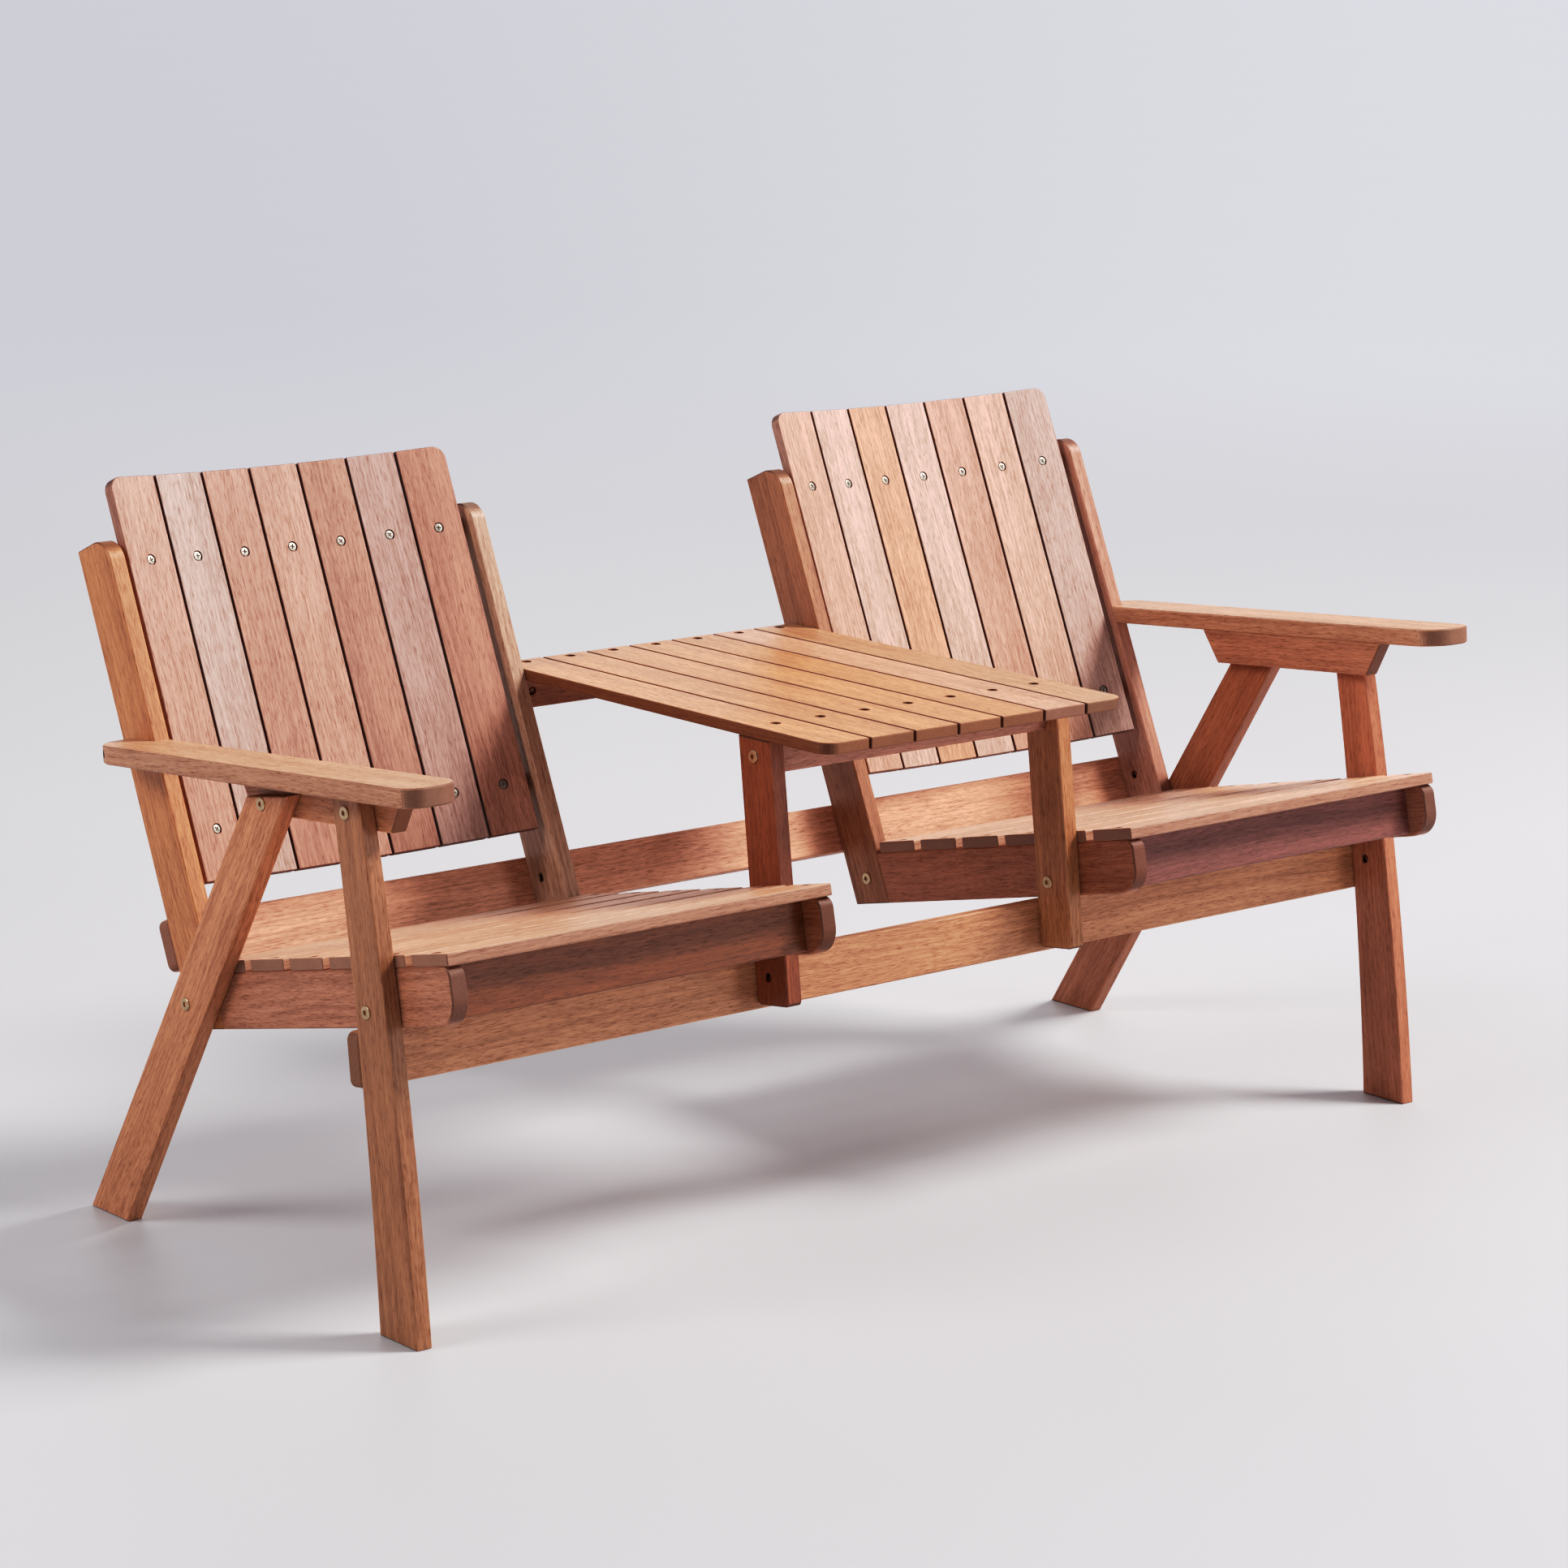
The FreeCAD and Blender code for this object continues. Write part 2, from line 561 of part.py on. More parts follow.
# Battens: a straight back edge and a hollow front edge, sawn to the radius that the flat back
# slats bear on. Stub tenons enter the two posts.
for which, height in BATTENS.items():
    y, z = on_post("0", f"{height} - board/2")
    batten = new_body(f"right_{which}_batten", ("chair_mid", y, z), LEAN)
    end = "hollow_depth - hollow_radius + sqrt(hollow_radius*hollow_radius" \
          " - seat_clear*seat_clear/4)"
    pad(batten, "XY_Plane", [
        ("-seat_clear/2", end, ("0", "hollow_depth")),
        ("seat_clear/2", end),
        ("seat_clear/2", "batten_back"),
        ("-seat_clear/2", "batten_back"),
    ], "board")
    for side, reverse in (("seat_clear/2", False), ("-seat_clear/2", True)):
        sketch = sketch_on(batten, "YZ_Plane", side)
        draw(sketch, box(TENON_FRONT, f"board/2 - {TENON_HALF}",
                         TENON_BACK, f"board/2 + {TENON_HALF}"))
        tongue = batten.newObject("PartDesign::Pad", f"{which}_tenon")
        tongue.Profile = sketch
        tongue.Reversed = reverse
        tongue.setExpression("Length", bound("tenon"))
        batten.Tip = tongue
        doc.recompute()
    right[f"{which}_batten"] = batten

# Scooped back: seven flat slats, each turned square to the hollow's radius, so that its two back
# arrises bear on the battens' curve. The outermost corners are rounded.
BACK_SLATS = 7
for index in range(BACK_SLATS):
    turn = f"({index - BACK_SLATS // 2}*back_turn)"
    depth = f"(hollow_centre + slat_seat*cos({turn}))"
    y, z = on_post(depth, "back_slat_start")
    x = f"chair_mid + slat_seat*sin({turn})"
    slat = new_body(f"right_back_slat_{index + 1}", (x, y, z), f"{LEAN}*rotationz(-{turn})")
    pad(slat, "XZ_Plane", box(
        "-back_slat_width/2", "0", "back_slat_width/2", "back_slat_length"), "slat_board")
    if index in (0, BACK_SLATS - 1):
        side = "-back_slat_width/2" if index == 0 else "back_slat_width/2"
        round_corners(slat, "XZ_Plane", [(side, "back_slat_length")], "back_corner")
    ease_faces(slat, "XZ_Plane")
    right[f"back_slat_{index + 1}"] = slat

# The inner post and side rail mirror the outer ones across the chair's middle.
right["inner_post"] = mirrored(right["outer_post"], "right_inner_post", "chair_mid")
right["inner_side_rail"] = mirrored(right["outer_side_rail"], "right_inner_side_rail", "chair_mid")

# Front rail: behind the front legs and the table posts, at the table posts' lean.
shared = {}
rail = new_body("front_rail", ("-(rail_out + board)",
                               "tie_face + tie_low_z*tan(table_post_lean)", "tie_low_z"),
                "rotationx(-table_post_lean)")
pad(rail, "XZ_Plane", box("0", "0", "2*(rail_out + board)", "front_rail_width"), "board")
rail.Tip.Reversed = True
doc.recompute()
round_corners(rail, "XZ_Plane", [
    (x, z) for x in ("0", "2*(rail_out + board)") for z in ("0", "front_rail_width")
], "rail_round")
ease_faces(rail, "XZ_Plane")
shared["front_rail"] = rail

# Rear rail: across the rear edges of the four back posts.
y, z = on_post("post_width", "rear_rail_start")
rail = new_body("rear_rail", ("-rail_out", y, z), LEAN)
pad(rail, "XZ_Plane", box("0", "0", "2*rail_out", "rear_rail_width"), "board")
rail.Tip.Reversed = True
doc.recompute()
round_corners(rail, "XZ_Plane", [
    (x, z) for x in ("0", "2*rail_out") for z in ("0", "rear_rail_width")
], "rail_round")
ease_faces(rail, "XZ_Plane")
shared["rear_rail"] = rail

# Cross rails under the table: the front one between the table posts, the rear one between the
# inner back posts.
for which, middle, half in (("front", "-cross_front", "(rail_in - board)"),
                            ("rear", "cross_back", "rail_in")):
    rail = new_body(f"table_{which}_cross_rail", (f"-{half}", middle, "table_under"))
    pad(rail, "YZ_Plane", box("-board/2", "-cross_rail_width", "board/2", "0"), f"2*{half}")
    ease_length(rail, (1, 0, 0))
    shared[f"table_{which}_cross_rail"] = rail

# Table slats, front to back. The outermost ones carry the table's rounded corners.
for index in range(int(value("table_slat_count"))):
    slat = new_body(f"table_slat_{index + 1}",
                    (f"{index}*table_pitch - table_width/2", "0", "table_under"))
    pad(slat, "XY_Plane", box("0", "-table_front", "table_slat_width", "table_back"),
        "slat_board")
    if index in (0, int(value("table_slat_count")) - 1):
        side = "0" if index == 0 else "table_slat_width"
        round_corners(slat, "XY_Plane", [(side, "-table_front")], "table_front_round")
        round_corners(slat, "XY_Plane", [(side, "table_back")], "table_back_round")
    ease_faces(slat, "XY_Plane")
    shared[f"table_slat_{index + 1}"] = slat

left = {name: mirrored(piece, f"left_{name}") for name, piece in right.items()}


# Fasteners. There are over a hundred, so each is drawn with few sides: a flat head with its
# underside at Z = 0 and a shank below it. They bite into the boards.
def prism(label, sides, radius, height, base="0"):
    item = doc.addObject("Part::Prism", label)
    item.Polygon = sides
    item.setExpression("Circumradius", bound(radius))
    item.setExpression("Height", bound(height))
    item.setExpression("Placement.Base.z", bound(base))
    return item


def headed(label, sides, head, flange, core, length, proud="0"):
    fuse = doc.addObject("Part::Fuse", label)
    fuse.Base = prism(label + "_head", sides, head, flange, f"{proud}")
    fuse.Tool = prism(label + "_shank", 6, core, f"{length} + {proud}", f"-{length}")
    return fuse


SCREW = ("screw_head", "screw_flange", "screw_core", "screw_length")
screw = headed("screw", 12, *SCREW, "(screw_proud - screw_flange)")
sunk_screw = headed("sunk_screw", 12, *SCREW, "(0 - screw_flange)")
BOLT = ("bolt_head", "bolt_flange", "bolt_core")
side_bolt = headed("side_bolt", 16, *BOLT, "bolt_side")
lap_bolt = headed("lap_bolt", 16, *BOLT, "bolt_lap")
long_bolt = headed("long_bolt", 16, *BOLT, "bolt_long")
cap_nut = headed("cap_nut", 16, "bolt_head", "bolt_flange", "cap_sleeve", "cap_length")
dowel = prism("cross_dowel", 12, "dowel_radius", "dowel_length", "-dowel_length")
doc.recompute()


def group(label, master, spots):
    """Copies of one fastener, each with its head at a point and its shank along a direction."""
    copies = []
    for point, direction in spots:
        copy = master.Shape.copy()
        turn = FreeCAD.Rotation(FreeCAD.Vector(0, 0, -1), FreeCAD.Vector(*direction))
        copy.Placement = FreeCAD.Placement(FreeCAD.Vector(*point), turn)
        copies.append(copy)
    item = doc.addObject("Part::Feature", label)
    item.Label = label
    item.Shape = Part.makeCompound(copies)
    return item


def both_sides(spots):
    """The spots of the +X half, and their mirror images."""
    images = [((-x, y, z), (-a, b, c)) for (x, y, z), (a, b, c) in spots]
    return spots + images


def into(body, spots, direction):
    """Points of a body's own frame, and one direction in it, in the bench's frame."""
    aim = body.Placement.Rotation.multVec(FreeCAD.Vector(*direction))
    points = [body.Placement.multVec(FreeCAD.Vector(*[value(text) for text in spot]))
              for spot in spots]
    return [(tuple(point), tuple(aim)) for point in points]


def at(x, y, z, direction):
    return (value(x), value(y), value(z)), direction


back_spots = []
for index in range(BACK_SLATS):
    rows = [f"{height} - back_slat_start" for height in ("batten_low", "back_screw_high")]
    back_spots += into(right[f"back_slat_{index + 1}"],
                       [("0", "-slat_board", height) for height in rows], (0, 1, 0))
seat_spots = into(slats, [
    (x, f"{index}*slat_pitch + seat_slat_width/2 - rail_nose", "rail_width + slat_board")
    for index in range(int(value("seat_slat_count")))
    for x in ("seat_screw_inset", "chair_width - seat_screw_inset")], (0, 0, -1))
table_spots = []
for index in range(int(value("table_slat_count"))):
    table_spots += into(shared[f"table_slat_{index + 1}"], [
        ("table_slat_width/2", middle, "slat_board") for middle in ("-cross_front", "cross_back")
    ], (0, 0, -1))
arm_spots = into(arm, [("arm_width - arm_screw_well", "arm_screw_place", "board/2")], (-1, 0, 0))
arm_spots += into(cleat, [("board/2", f"-{place}", "-cleat_height")
                          for place in ("cleat_screw_front", "cleat_screw_back")], (0, 0, 1))

INWARD, OUTWARD, FORWARD = (-1, 0, 0), (1, 0, 0), (0, -1, 0)
side_spots = [at("rail_out + board", *spot, INWARD) for spot in (*HEAD_BOLTS, LAP_BOLT, SIDE_BOLT)]
side_spots.append(at("rail_in - board", *SIDE_BOLT, OUTWARD))
lap_spots = [at("rail_in", *LAP_BOLT, OUTWARD)]
cap_spots = [at("rail_out - board", *spot, OUTWARD) for spot in (LAP_BOLT, SIDE_BOLT)]
cap_spots += [at("rail_in + board", *spot, INWARD) for spot in (LAP_BOLT, SIDE_BOLT)]

# The long bolts come from behind the two long rails, into the edges of legs and posts, and
# through the posts into the ends of the cross rails. A cross dowel catches each of them.
FRONT_BOLT = "front_rail_width*0.62"
REAR_BOLT = "rear_rail_width/2"
CROSS_BOLT = "table_under - cross_rail_width/2"
long_spots = into(shared["front_rail"], [
    (f"rail_out + board + {x}", "board", FRONT_BOLT)
    for x in ("rail_out + board/2", "rail_in - board/2")], FORWARD)
long_spots += into(shared["rear_rail"], [
    (f"rail_out + {x}", "board", REAR_BOLT)
    for x in ("rail_out - board/2", "rail_in + board/2")], FORWARD)
long_spots.append(at("rail_in", "-cross_front", CROSS_BOLT, INWARD))
long_spots.append(at("rail_in + board", "cross_back", CROSS_BOLT, INWARD))
dowel_spots = into(shared["front_rail"], [
    ("rail_out + board + rail_out", "-dowel_depth", FRONT_BOLT)], OUTWARD)
dowel_spots += into(shared["front_rail"], [
    ("rail_out + board + rail_in", "-dowel_depth", FRONT_BOLT)], INWARD)
dowel_spots += into(shared["rear_rail"], [
    ("rail_out + rail_out - board", "-dowel_depth", REAR_BOLT)], OUTWARD)
dowel_spots += into(shared["rear_rail"], [
    ("rail_out + rail_in + board", "-dowel_depth", REAR_BOLT)], INWARD)
dowel_spots.append(at("rail_in - board - cross_dowel_depth", "board/2 - cross_front",
                      CROSS_BOLT, FORWARD))
dowel_spots.append(at("rail_in - cross_dowel_depth", "cross_back - board/2", CROSS_BOLT,
                      (0, 1, 0)))

groups = {
    "back_screws": group("back_screws", screw, both_sides(back_spots)),
    "seat_screws": group("seat_screws", screw, both_sides(seat_spots)),
    "table_screws": group("table_screws", sunk_screw, table_spots),
    "arm_screws": group("arm_screws", screw, both_sides(arm_spots)),
    "side_bolts": group("side_bolts", side_bolt, both_sides(side_spots)),
    "lap_bolts": group("lap_bolts", lap_bolt, both_sides(lap_spots)),
    "long_bolts": group("long_bolts", long_bolt, both_sides(long_spots)),
    "cap_nuts": group("cap_nuts", cap_nut, both_sides(cap_spots)),
    "cross_dowels": group("cross_dowels", dowel, both_sides(dowel_spots)),
}

doc.recompute()
pieces = {f"right_{name}": piece for name, piece in right.items()}
pieces.update({f"left_{name}": piece for name, piece in left.items()})
pieces.update(shared)
pieces.update(groups)

for item in doc.Objects:
    if "Invalid" in item.State or "Error" in item.State:
        raise RuntimeError(f"{item.Label} did not compute: {item.State}")
os.makedirs("parts", exist_ok=True)
for name, piece in pieces.items():
    if piece.Shape.isNull() or not piece.Shape.isValid():
        raise RuntimeError(f"{name} has no valid shape")
for name, piece in pieces.items():
    piece.Shape.exportStep(f"parts/{name}.step")
everything = Part.makeCompound([piece.Shape for piece in pieces.values()])
print(len(pieces), "nodes,", len(everything.Solids), "solids,", everything.BoundBox)
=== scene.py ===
# %% [markdown]
# # A companion seat bench in oiled hardwood
# Two slatted garden chairs share one frame, with a slatted table between them. The solids of all
# boards and fasteners are loaded first, as a fixed frame that is never moved. The lesson then
# dresses them: boards with softly rounded arrises and countersunk screw holes, slats and
# fasteners made by Geometry Nodes, and one oiled wood that follows the grain of every board.

# %% Load the frame and measure it
import math
import random

import bmesh
import bpy
import numpy as np
from mathutils import Matrix, Vector


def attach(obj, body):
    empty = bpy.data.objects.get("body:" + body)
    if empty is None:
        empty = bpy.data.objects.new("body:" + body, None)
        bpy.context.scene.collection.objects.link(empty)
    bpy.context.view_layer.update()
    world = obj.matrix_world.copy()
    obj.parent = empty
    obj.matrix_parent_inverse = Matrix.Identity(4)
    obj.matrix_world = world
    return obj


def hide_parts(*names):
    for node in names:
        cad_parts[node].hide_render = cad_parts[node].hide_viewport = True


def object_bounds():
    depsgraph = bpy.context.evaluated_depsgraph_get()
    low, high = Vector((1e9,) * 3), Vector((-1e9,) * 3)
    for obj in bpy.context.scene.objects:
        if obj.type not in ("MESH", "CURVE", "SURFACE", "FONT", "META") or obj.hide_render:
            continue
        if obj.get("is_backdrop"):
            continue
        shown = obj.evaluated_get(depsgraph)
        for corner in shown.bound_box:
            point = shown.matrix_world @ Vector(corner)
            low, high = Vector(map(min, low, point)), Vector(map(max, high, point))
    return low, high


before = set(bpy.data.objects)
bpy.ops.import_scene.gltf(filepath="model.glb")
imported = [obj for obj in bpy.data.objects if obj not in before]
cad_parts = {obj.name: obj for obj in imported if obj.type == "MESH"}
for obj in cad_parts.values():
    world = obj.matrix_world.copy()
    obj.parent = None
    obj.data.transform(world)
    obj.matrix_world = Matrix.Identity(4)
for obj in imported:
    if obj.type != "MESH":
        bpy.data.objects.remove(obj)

cad_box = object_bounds()
print("bench:", [round(high - low, 3) for low, high in zip(*cad_box)], "m")

# %% [markdown]
# ## The camera
# The photograph was taken with a long lens from the front left, a little above the backs. A long
# lens keeps the two chairs nearly the same size. The camera is placed by its position and the
# direction in which it looks, then rolled by less than a degree, because the real one was not
# quite level.

# %% Place the camera
EYE = Vector((-3.2325, -3.8218, 1.5089))
GAZE = Vector((0.6310, 0.7467, -0.2103)).normalized()
ROLL = math.radians(0.733)
SENSOR, LENS = 36.0, 103.92

level_right = GAZE.cross(Vector((0, 0, 1))).normalized()
level_up = level_right.cross(GAZE)
right = math.cos(ROLL) * level_right + math.sin(ROLL) * level_up
up = right.cross(GAZE)
lens = bpy.data.cameras.new("photo_lens")
lens.lens, lens.sensor_width = LENS, SENSOR
camera = bpy.data.objects.new("photo_camera", lens)
turn = Matrix((right, up, -GAZE)).transposed().to_4x4()
camera.matrix_world = Matrix.Translation(EYE) @ turn
bpy.context.scene.collection.objects.link(camera)
bpy.context.scene.camera = camera
print("camera looks", round(math.degrees(math.asin(-GAZE.z)), 1), "degrees down")

# %% [markdown]
# ## Writing node trees as sums
# Materials and Geometry Nodes are both trees of nodes joined by links. Drawing dozens of Math
# nodes by hand is slow to read, so a small class wraps one socket and lets Python's own signs
# add the Math nodes. Every other node comes from one method, which takes its type, its settings
# and what goes into its sockets.

# %% Wrap a socket, and add any node by one method
class Wire:
    """A socket of a tree. Sums and products of wires add Math nodes."""

    def __init__(self, tree, socket):
        self.tree, self.socket = tree, socket

    def other(self, name):
        return Wire(self.tree, self.socket.node.outputs[name])

    def __add__(self, value):
        return self.tree.maths("ADD", self, value)

    def __sub__(self, value):
        return self.tree.maths("SUBTRACT", self, value)

    def __rsub__(self, value):
        return self.tree.maths("SUBTRACT", value, self)

    def __mul__(self, value):
        return self.tree.maths("MULTIPLY", self, value)

    def __truediv__(self, value):
        return self.tree.maths("DIVIDE", self, value)

    def __pow__(self, value):
        return self.tree.maths("POWER", self, value)

    __radd__, __rmul__ = __add__, __mul__

    def vector(self, operation, value):
        """Vector Math of this wire and a value, which keeps all three parts."""
        return self.tree.add("ShaderNodeVectorMath", {"operation": operation},
                             {0: self, 1: value})

    def between(self, low, high, smooth=True):
        """0 up to low, 1 from high on, and a ramp in between."""
        kind = "SMOOTHSTEP" if smooth else "LINEAR"
        return self.tree.add("ShaderNodeMapRange", {"interpolation_type": kind},
                             {"Value": self, "From Min": low, "From Max": high})


class Tree:
    """A node tree, with one method that adds any node to it and two short forms of that."""

    def __init__(self, nodes_tree):
        self.nodes_tree = nodes_tree

    def add(self, kind, settings=None, sockets=None, output=0):
        """A node of that type: its settings first, then a value or a wire for its sockets."""
        node = self.nodes_tree.nodes.new(kind)
        for name, value in (settings or {}).items():
            setattr(node, name, value)
        for name, value in (sockets or {}).items():
            socket = node.inputs[name]
            if isinstance(value, Wire):
                self.nodes_tree.links.new(value.socket, socket)
            else:
                socket.default_value = value
        return Wire(self, node.outputs[output] if len(node.outputs) else None)

    def maths(self, operation, *values):
        return self.add("ShaderNodeMath", {"operation": operation}, dict(enumerate(values)))

    def mix(self, factor, first, second, how="MIX"):
        settings = {"data_type": "RGBA", "blend_type": how, "clamp_factor": True}
        return self.add("ShaderNodeMix", settings, {0: factor, 6: first, 7: second}, output=2)


def new_finish(name):
    """A material and its empty tree."""
    finish = bpy.data.materials.new(name)
    finish.use_nodes = True
    finish.node_tree.nodes.clear()
    return finish, Tree(finish.node_tree)


def close_finish(tree, sockets):
    """End a material's tree with one shader that takes these sockets."""
    shader = tree.add("ShaderNodeBsdfPrincipled", {}, sockets)
    tree.add("ShaderNodeOutputMaterial", {}, {"Surface": shader})


print("a wire takes the signs + - * / and **")

# %% [markdown]
# ## Oiled hardwood
# The bench is a reddish tropical hardwood under a satin oil. Close up it shows soft ribbons of
# lighter and darker wood along each board, a cloudy mottle, faint growth rings, fine fibres and
# flecks, and short dark pores, a few millimetres long, that turn to dots on sawn ends. Apart from
# the rings all of it is noise that is stretched along the grain, so the pattern is solid and runs
# over the edges like real wood. It is read from an attribute, grain, that every board carries:
# metres along the board and across it, counted from the heart of its own tree. Another, tone,
# gives each board its colour, and three more say where a face is a sawn end, a rounded arris or
# a long side with painted shade, which is darkest in the gaps between slats.

# %% Make the wood
RING_RATE = 1150.0


def make_wood():
    finish, tree = new_finish("oiled_hardwood")
    grain = tree.add("ShaderNodeAttribute", {"attribute_name": "grain"}, output="Vector")
    tone = tree.add("ShaderNodeAttribute", {"attribute_name": "tone"}, output="Color")
    sawn = tree.add("ShaderNodeAttribute", {"attribute_name": "sawn_end"}, output="Fac")
    edge = tree.add("ShaderNodeAttribute", {"attribute_name": "arris"}, output="Fac")
    seam = tree.add("ShaderNodeAttribute", {"attribute_name": "seam"}, output="Fac")

    def noise(along, across, detail, rough=0.55, source=grain):
        stretched = source.vector("MULTIPLY", (along, across, across))
        return tree.add("ShaderNodeTexNoise", {},
                        {"Vector": stretched, "Scale": 1.0, "Detail": detail,
                         "Roughness": rough})

    # The grain wanders a few millimetres to either side on its way along the board.
    wander = noise(2.4, 7.0, 2).other("Color").vector("SUBTRACT", (0.5, 0.5, 0.5))
    bent = grain.vector("ADD", wander.vector("MULTIPLY", (0.0, 0.03, 0.03)))
    ribbon = noise(1.1, 52.0, 3, 0.6, bent)
    mottle = noise(11.0, 30.0, 3)
    fibre = noise(11.0, 430.0, 3, 0.7, bent)
    fleck = noise(64.0, 640.0, 2, 0.6, bent)
    pores = noise(75.0, 1000.0, 2, 0.5, bent).between(0.55, 0.66)
    heart = tree.add("ShaderNodeSeparateXYZ", {}, {0: bent})
    across, through = heart.other("Y"), heart.other("Z")
    radius = (across * across + through * through) ** 0.5
    # A growth ring every five or six millimetres from the heart, pushed about by the ribbons.
    rings = tree.maths("SINE", radius * RING_RATE + ribbon * 9.0) * 0.5 + 0.5

    # The shade is 0 for the palest wood and 1 for the darkest.
    shade = (0.40 + (ribbon - 0.5) * 1.1 + (mottle - 0.5) * 0.5 + (fibre - 0.5) * 1.25
             + (fleck - 0.5) * 0.95 + (rings - 0.5) * 0.16 + pores * 0.55 - edge * 0.10)
    pale = tree.mix(1.0, tone, (1.24, 1.18, 1.12, 1), "MULTIPLY")
    deep = tree.mix(1.0, tone, (0.58, 0.42, 0.33, 1), "MULTIPLY")
    # Sawn ends take the darker colour of end grain, deepened further as painted shade.
    end_grain_and_shade = tree.mix(1.0, tone, (0.32, 0.26, 0.25, 1), "MULTIPLY")
    # The long sides take a near black painted shade, which is darkest in the gaps between slats.
    side_shade_colour = tree.mix(1.0, tone, (0.16, 0.07, 0.045, 1), "MULTIPLY")
    colour = tree.mix(shade.between(0.0, 1.0, smooth=False), pale, deep)
    colour = tree.mix(sawn * 0.85, colour, end_grain_and_shade)
    colour = tree.mix(seam, colour, side_shade_colour)
    rough = 0.45 + (fibre - 0.5) * 0.16 + pores * 0.10 + sawn * 0.18 + edge * 0.05
    height = fibre * 0.35 + fleck * 0.15 - pores * 0.55 + rings * 0.10
    relief = tree.add("ShaderNodeBump", {}, {"Strength": 0.4, "Distance": 0.0004,
                                             "Height": height})
    close_finish(tree, {"Base Color": colour, "Roughness": rough, "IOR": 1.42,
                        "Coat Weight": 0.04 + mottle * 0.10, "Coat Roughness": 0.36,
                        "Normal": relief})
    return finish


oiled_wood = make_wood()
print("oiled wood:", len(oiled_wood.node_tree.nodes), "nodes")

# %% [markdown]
# ## Plated steel
# The screws are bright zinc, the bolts and cap nuts carry a yellow zinc that shades from pale to
# deeper straw, and the cross dowels are a duller brass tone. One function makes the three: the
# plating drifts in cloudy patches, and fine scratches break up the gloss.

# %% Make the platings
def make_plating(name, pale, deep, rough):
    finish, tree = new_finish(name)
    place = tree.add("ShaderNodeTexCoord", {}, output="Object")
    cloud = tree.add("ShaderNodeTexNoise", {}, {"Vector": place, "Scale": 320.0, "Detail": 3.0})
    scratch = tree.add("ShaderNodeTexNoise", {}, {
        "Vector": place.vector("MULTIPLY", (4.0, 1.0, 0.6)), "Scale": 2600.0, "Detail": 2.0})
    colour = tree.mix(cloud.between(0.35, 0.65), (*pale, 1), (*deep, 1))
    relief = tree.add("ShaderNodeBump", {}, {"Strength": 0.2, "Distance": 0.0001,
                                             "Height": scratch})
    close_finish(tree, {"Base Color": colour, "Metallic": 1.0,
                        "Roughness": rough + (scratch - 0.5) * 0.2, "Normal": relief})
    return finish


bright_zinc = make_plating("bright_zinc", (0.36, 0.34, 0.30), (0.25, 0.23, 0.19), 0.45)
yellow_zinc = make_plating("yellow_zinc", (0.60, 0.45, 0.30), (0.50, 0.37, 0.22), 0.36)
dull_brass = make_plating("dull_brass", (0.24, 0.18, 0.11), (0.15, 0.11, 0.07), 0.5)
print("platings:", bright_zinc.name, yellow_zinc.name, dull_brass.name)

# %% [markdown]
# ## Finding the pieces in the frame
# A node of the frame is a cloud of loose triangles, and some nodes hold several solids, such as
# the six slats of a seat. Welding the vertices and walking from face to face splits a node into
# its solids. The three main directions of a solid then follow from how its skin is spread:
# length, width and thickness. Everything that comes later is measured in this way, so that the
# dressing stays on the frame if a board is moved.

# %% Split a node into solids and measure them
WELD = 2e-5


def loose_copy(faces):
    """A bmesh of its own for some faces of another."""
    solid, copies = bmesh.new(), {}
    for face in faces:
        for vert in face.verts:
            if vert not in copies:
                copies[vert] = solid.verts.new(vert.co)
        solid.faces.new([copies[vert] for vert in face.verts])
    return solid


def solids_of(node):
    """One welded bmesh for each solid of a node."""
    whole = bmesh.new()
    whole.from_mesh(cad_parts[node].data)
    bmesh.ops.remove_doubles(whole, verts=whole.verts, dist=WELD)
    taken, found = set(), []
    for seed in whole.faces:
        if seed in taken:
            continue
        taken.add(seed)
        shell, reached = [seed], [seed]
        while reached:
            for edge in reached.pop().edges:
                for face in edge.link_faces:
                    if face not in taken:
                        taken.add(face)
                        shell.append(face)
                        reached.append(face)
        found.append(loose_copy(shell))
    whole.free()
    return found


def directions(solid):
    """Centre and main directions of a solid's skin: along, across and through it."""
    bmesh.ops.triangulate(solid, faces=solid.faces)
    corners = np.array([[vert.co for vert in face.verts] for face in solid.faces])
    area = np.array([face.calc_area() for face in solid.faces])
    centres = corners.mean(1)
    middle = (centres * area[:, None]).sum(0) / area.sum()
    # The spread of a triangle is three quarters at its centre and a twelfth at each corner.
    spots = np.concatenate([centres, *corners.transpose(1, 0, 2)]) - middle
    weights = np.concatenate([area * 9, area, area, area])
    axes = np.linalg.eigh((spots * weights[:, None]).T @ spots)[1].T[::-1]
    if np.linalg.det(axes) < 0:
        axes[2] = -axes[2]
    return middle, axes


def measure(solid):
    """Matrix from a solid's own axes to the bench's, and its size along those axes."""
    skin = solid.copy()
    middle, axes = directions(skin)
    skin.free()
    local = (np.array([vert.co for vert in solid.verts]) - middle) @ axes.T
    low, high = local.min(0), local.max(0)
    middle = middle + ((low + high) / 2) @ axes
    place = Matrix.Translation(middle) @ Matrix(axes.tolist()).transposed().to_4x4()
    return place, high - low


slat_size = measure(solids_of("left_back_slat_4")[0])[1]
print("a back slat measures", [round(float(length) * 1000, 1) for length in slat_size], "mm")

# %% [markdown]
# ## Screws, bolts and dowels
# A fastener is a body of revolution with a socket in its end: a cross for the screws, a hexagon
# for the bolts and cap nuts, and a slot for the dowels. The outline is spun into rings of
# vertices. The last ring and the socket's outline are then joined by a zip of triangles, and the
# socket is pushed in. A shape has no more than about two hundred faces, as it is repeated up to
# thirty times.

# %% Draw the four fasteners
SIDES = 24


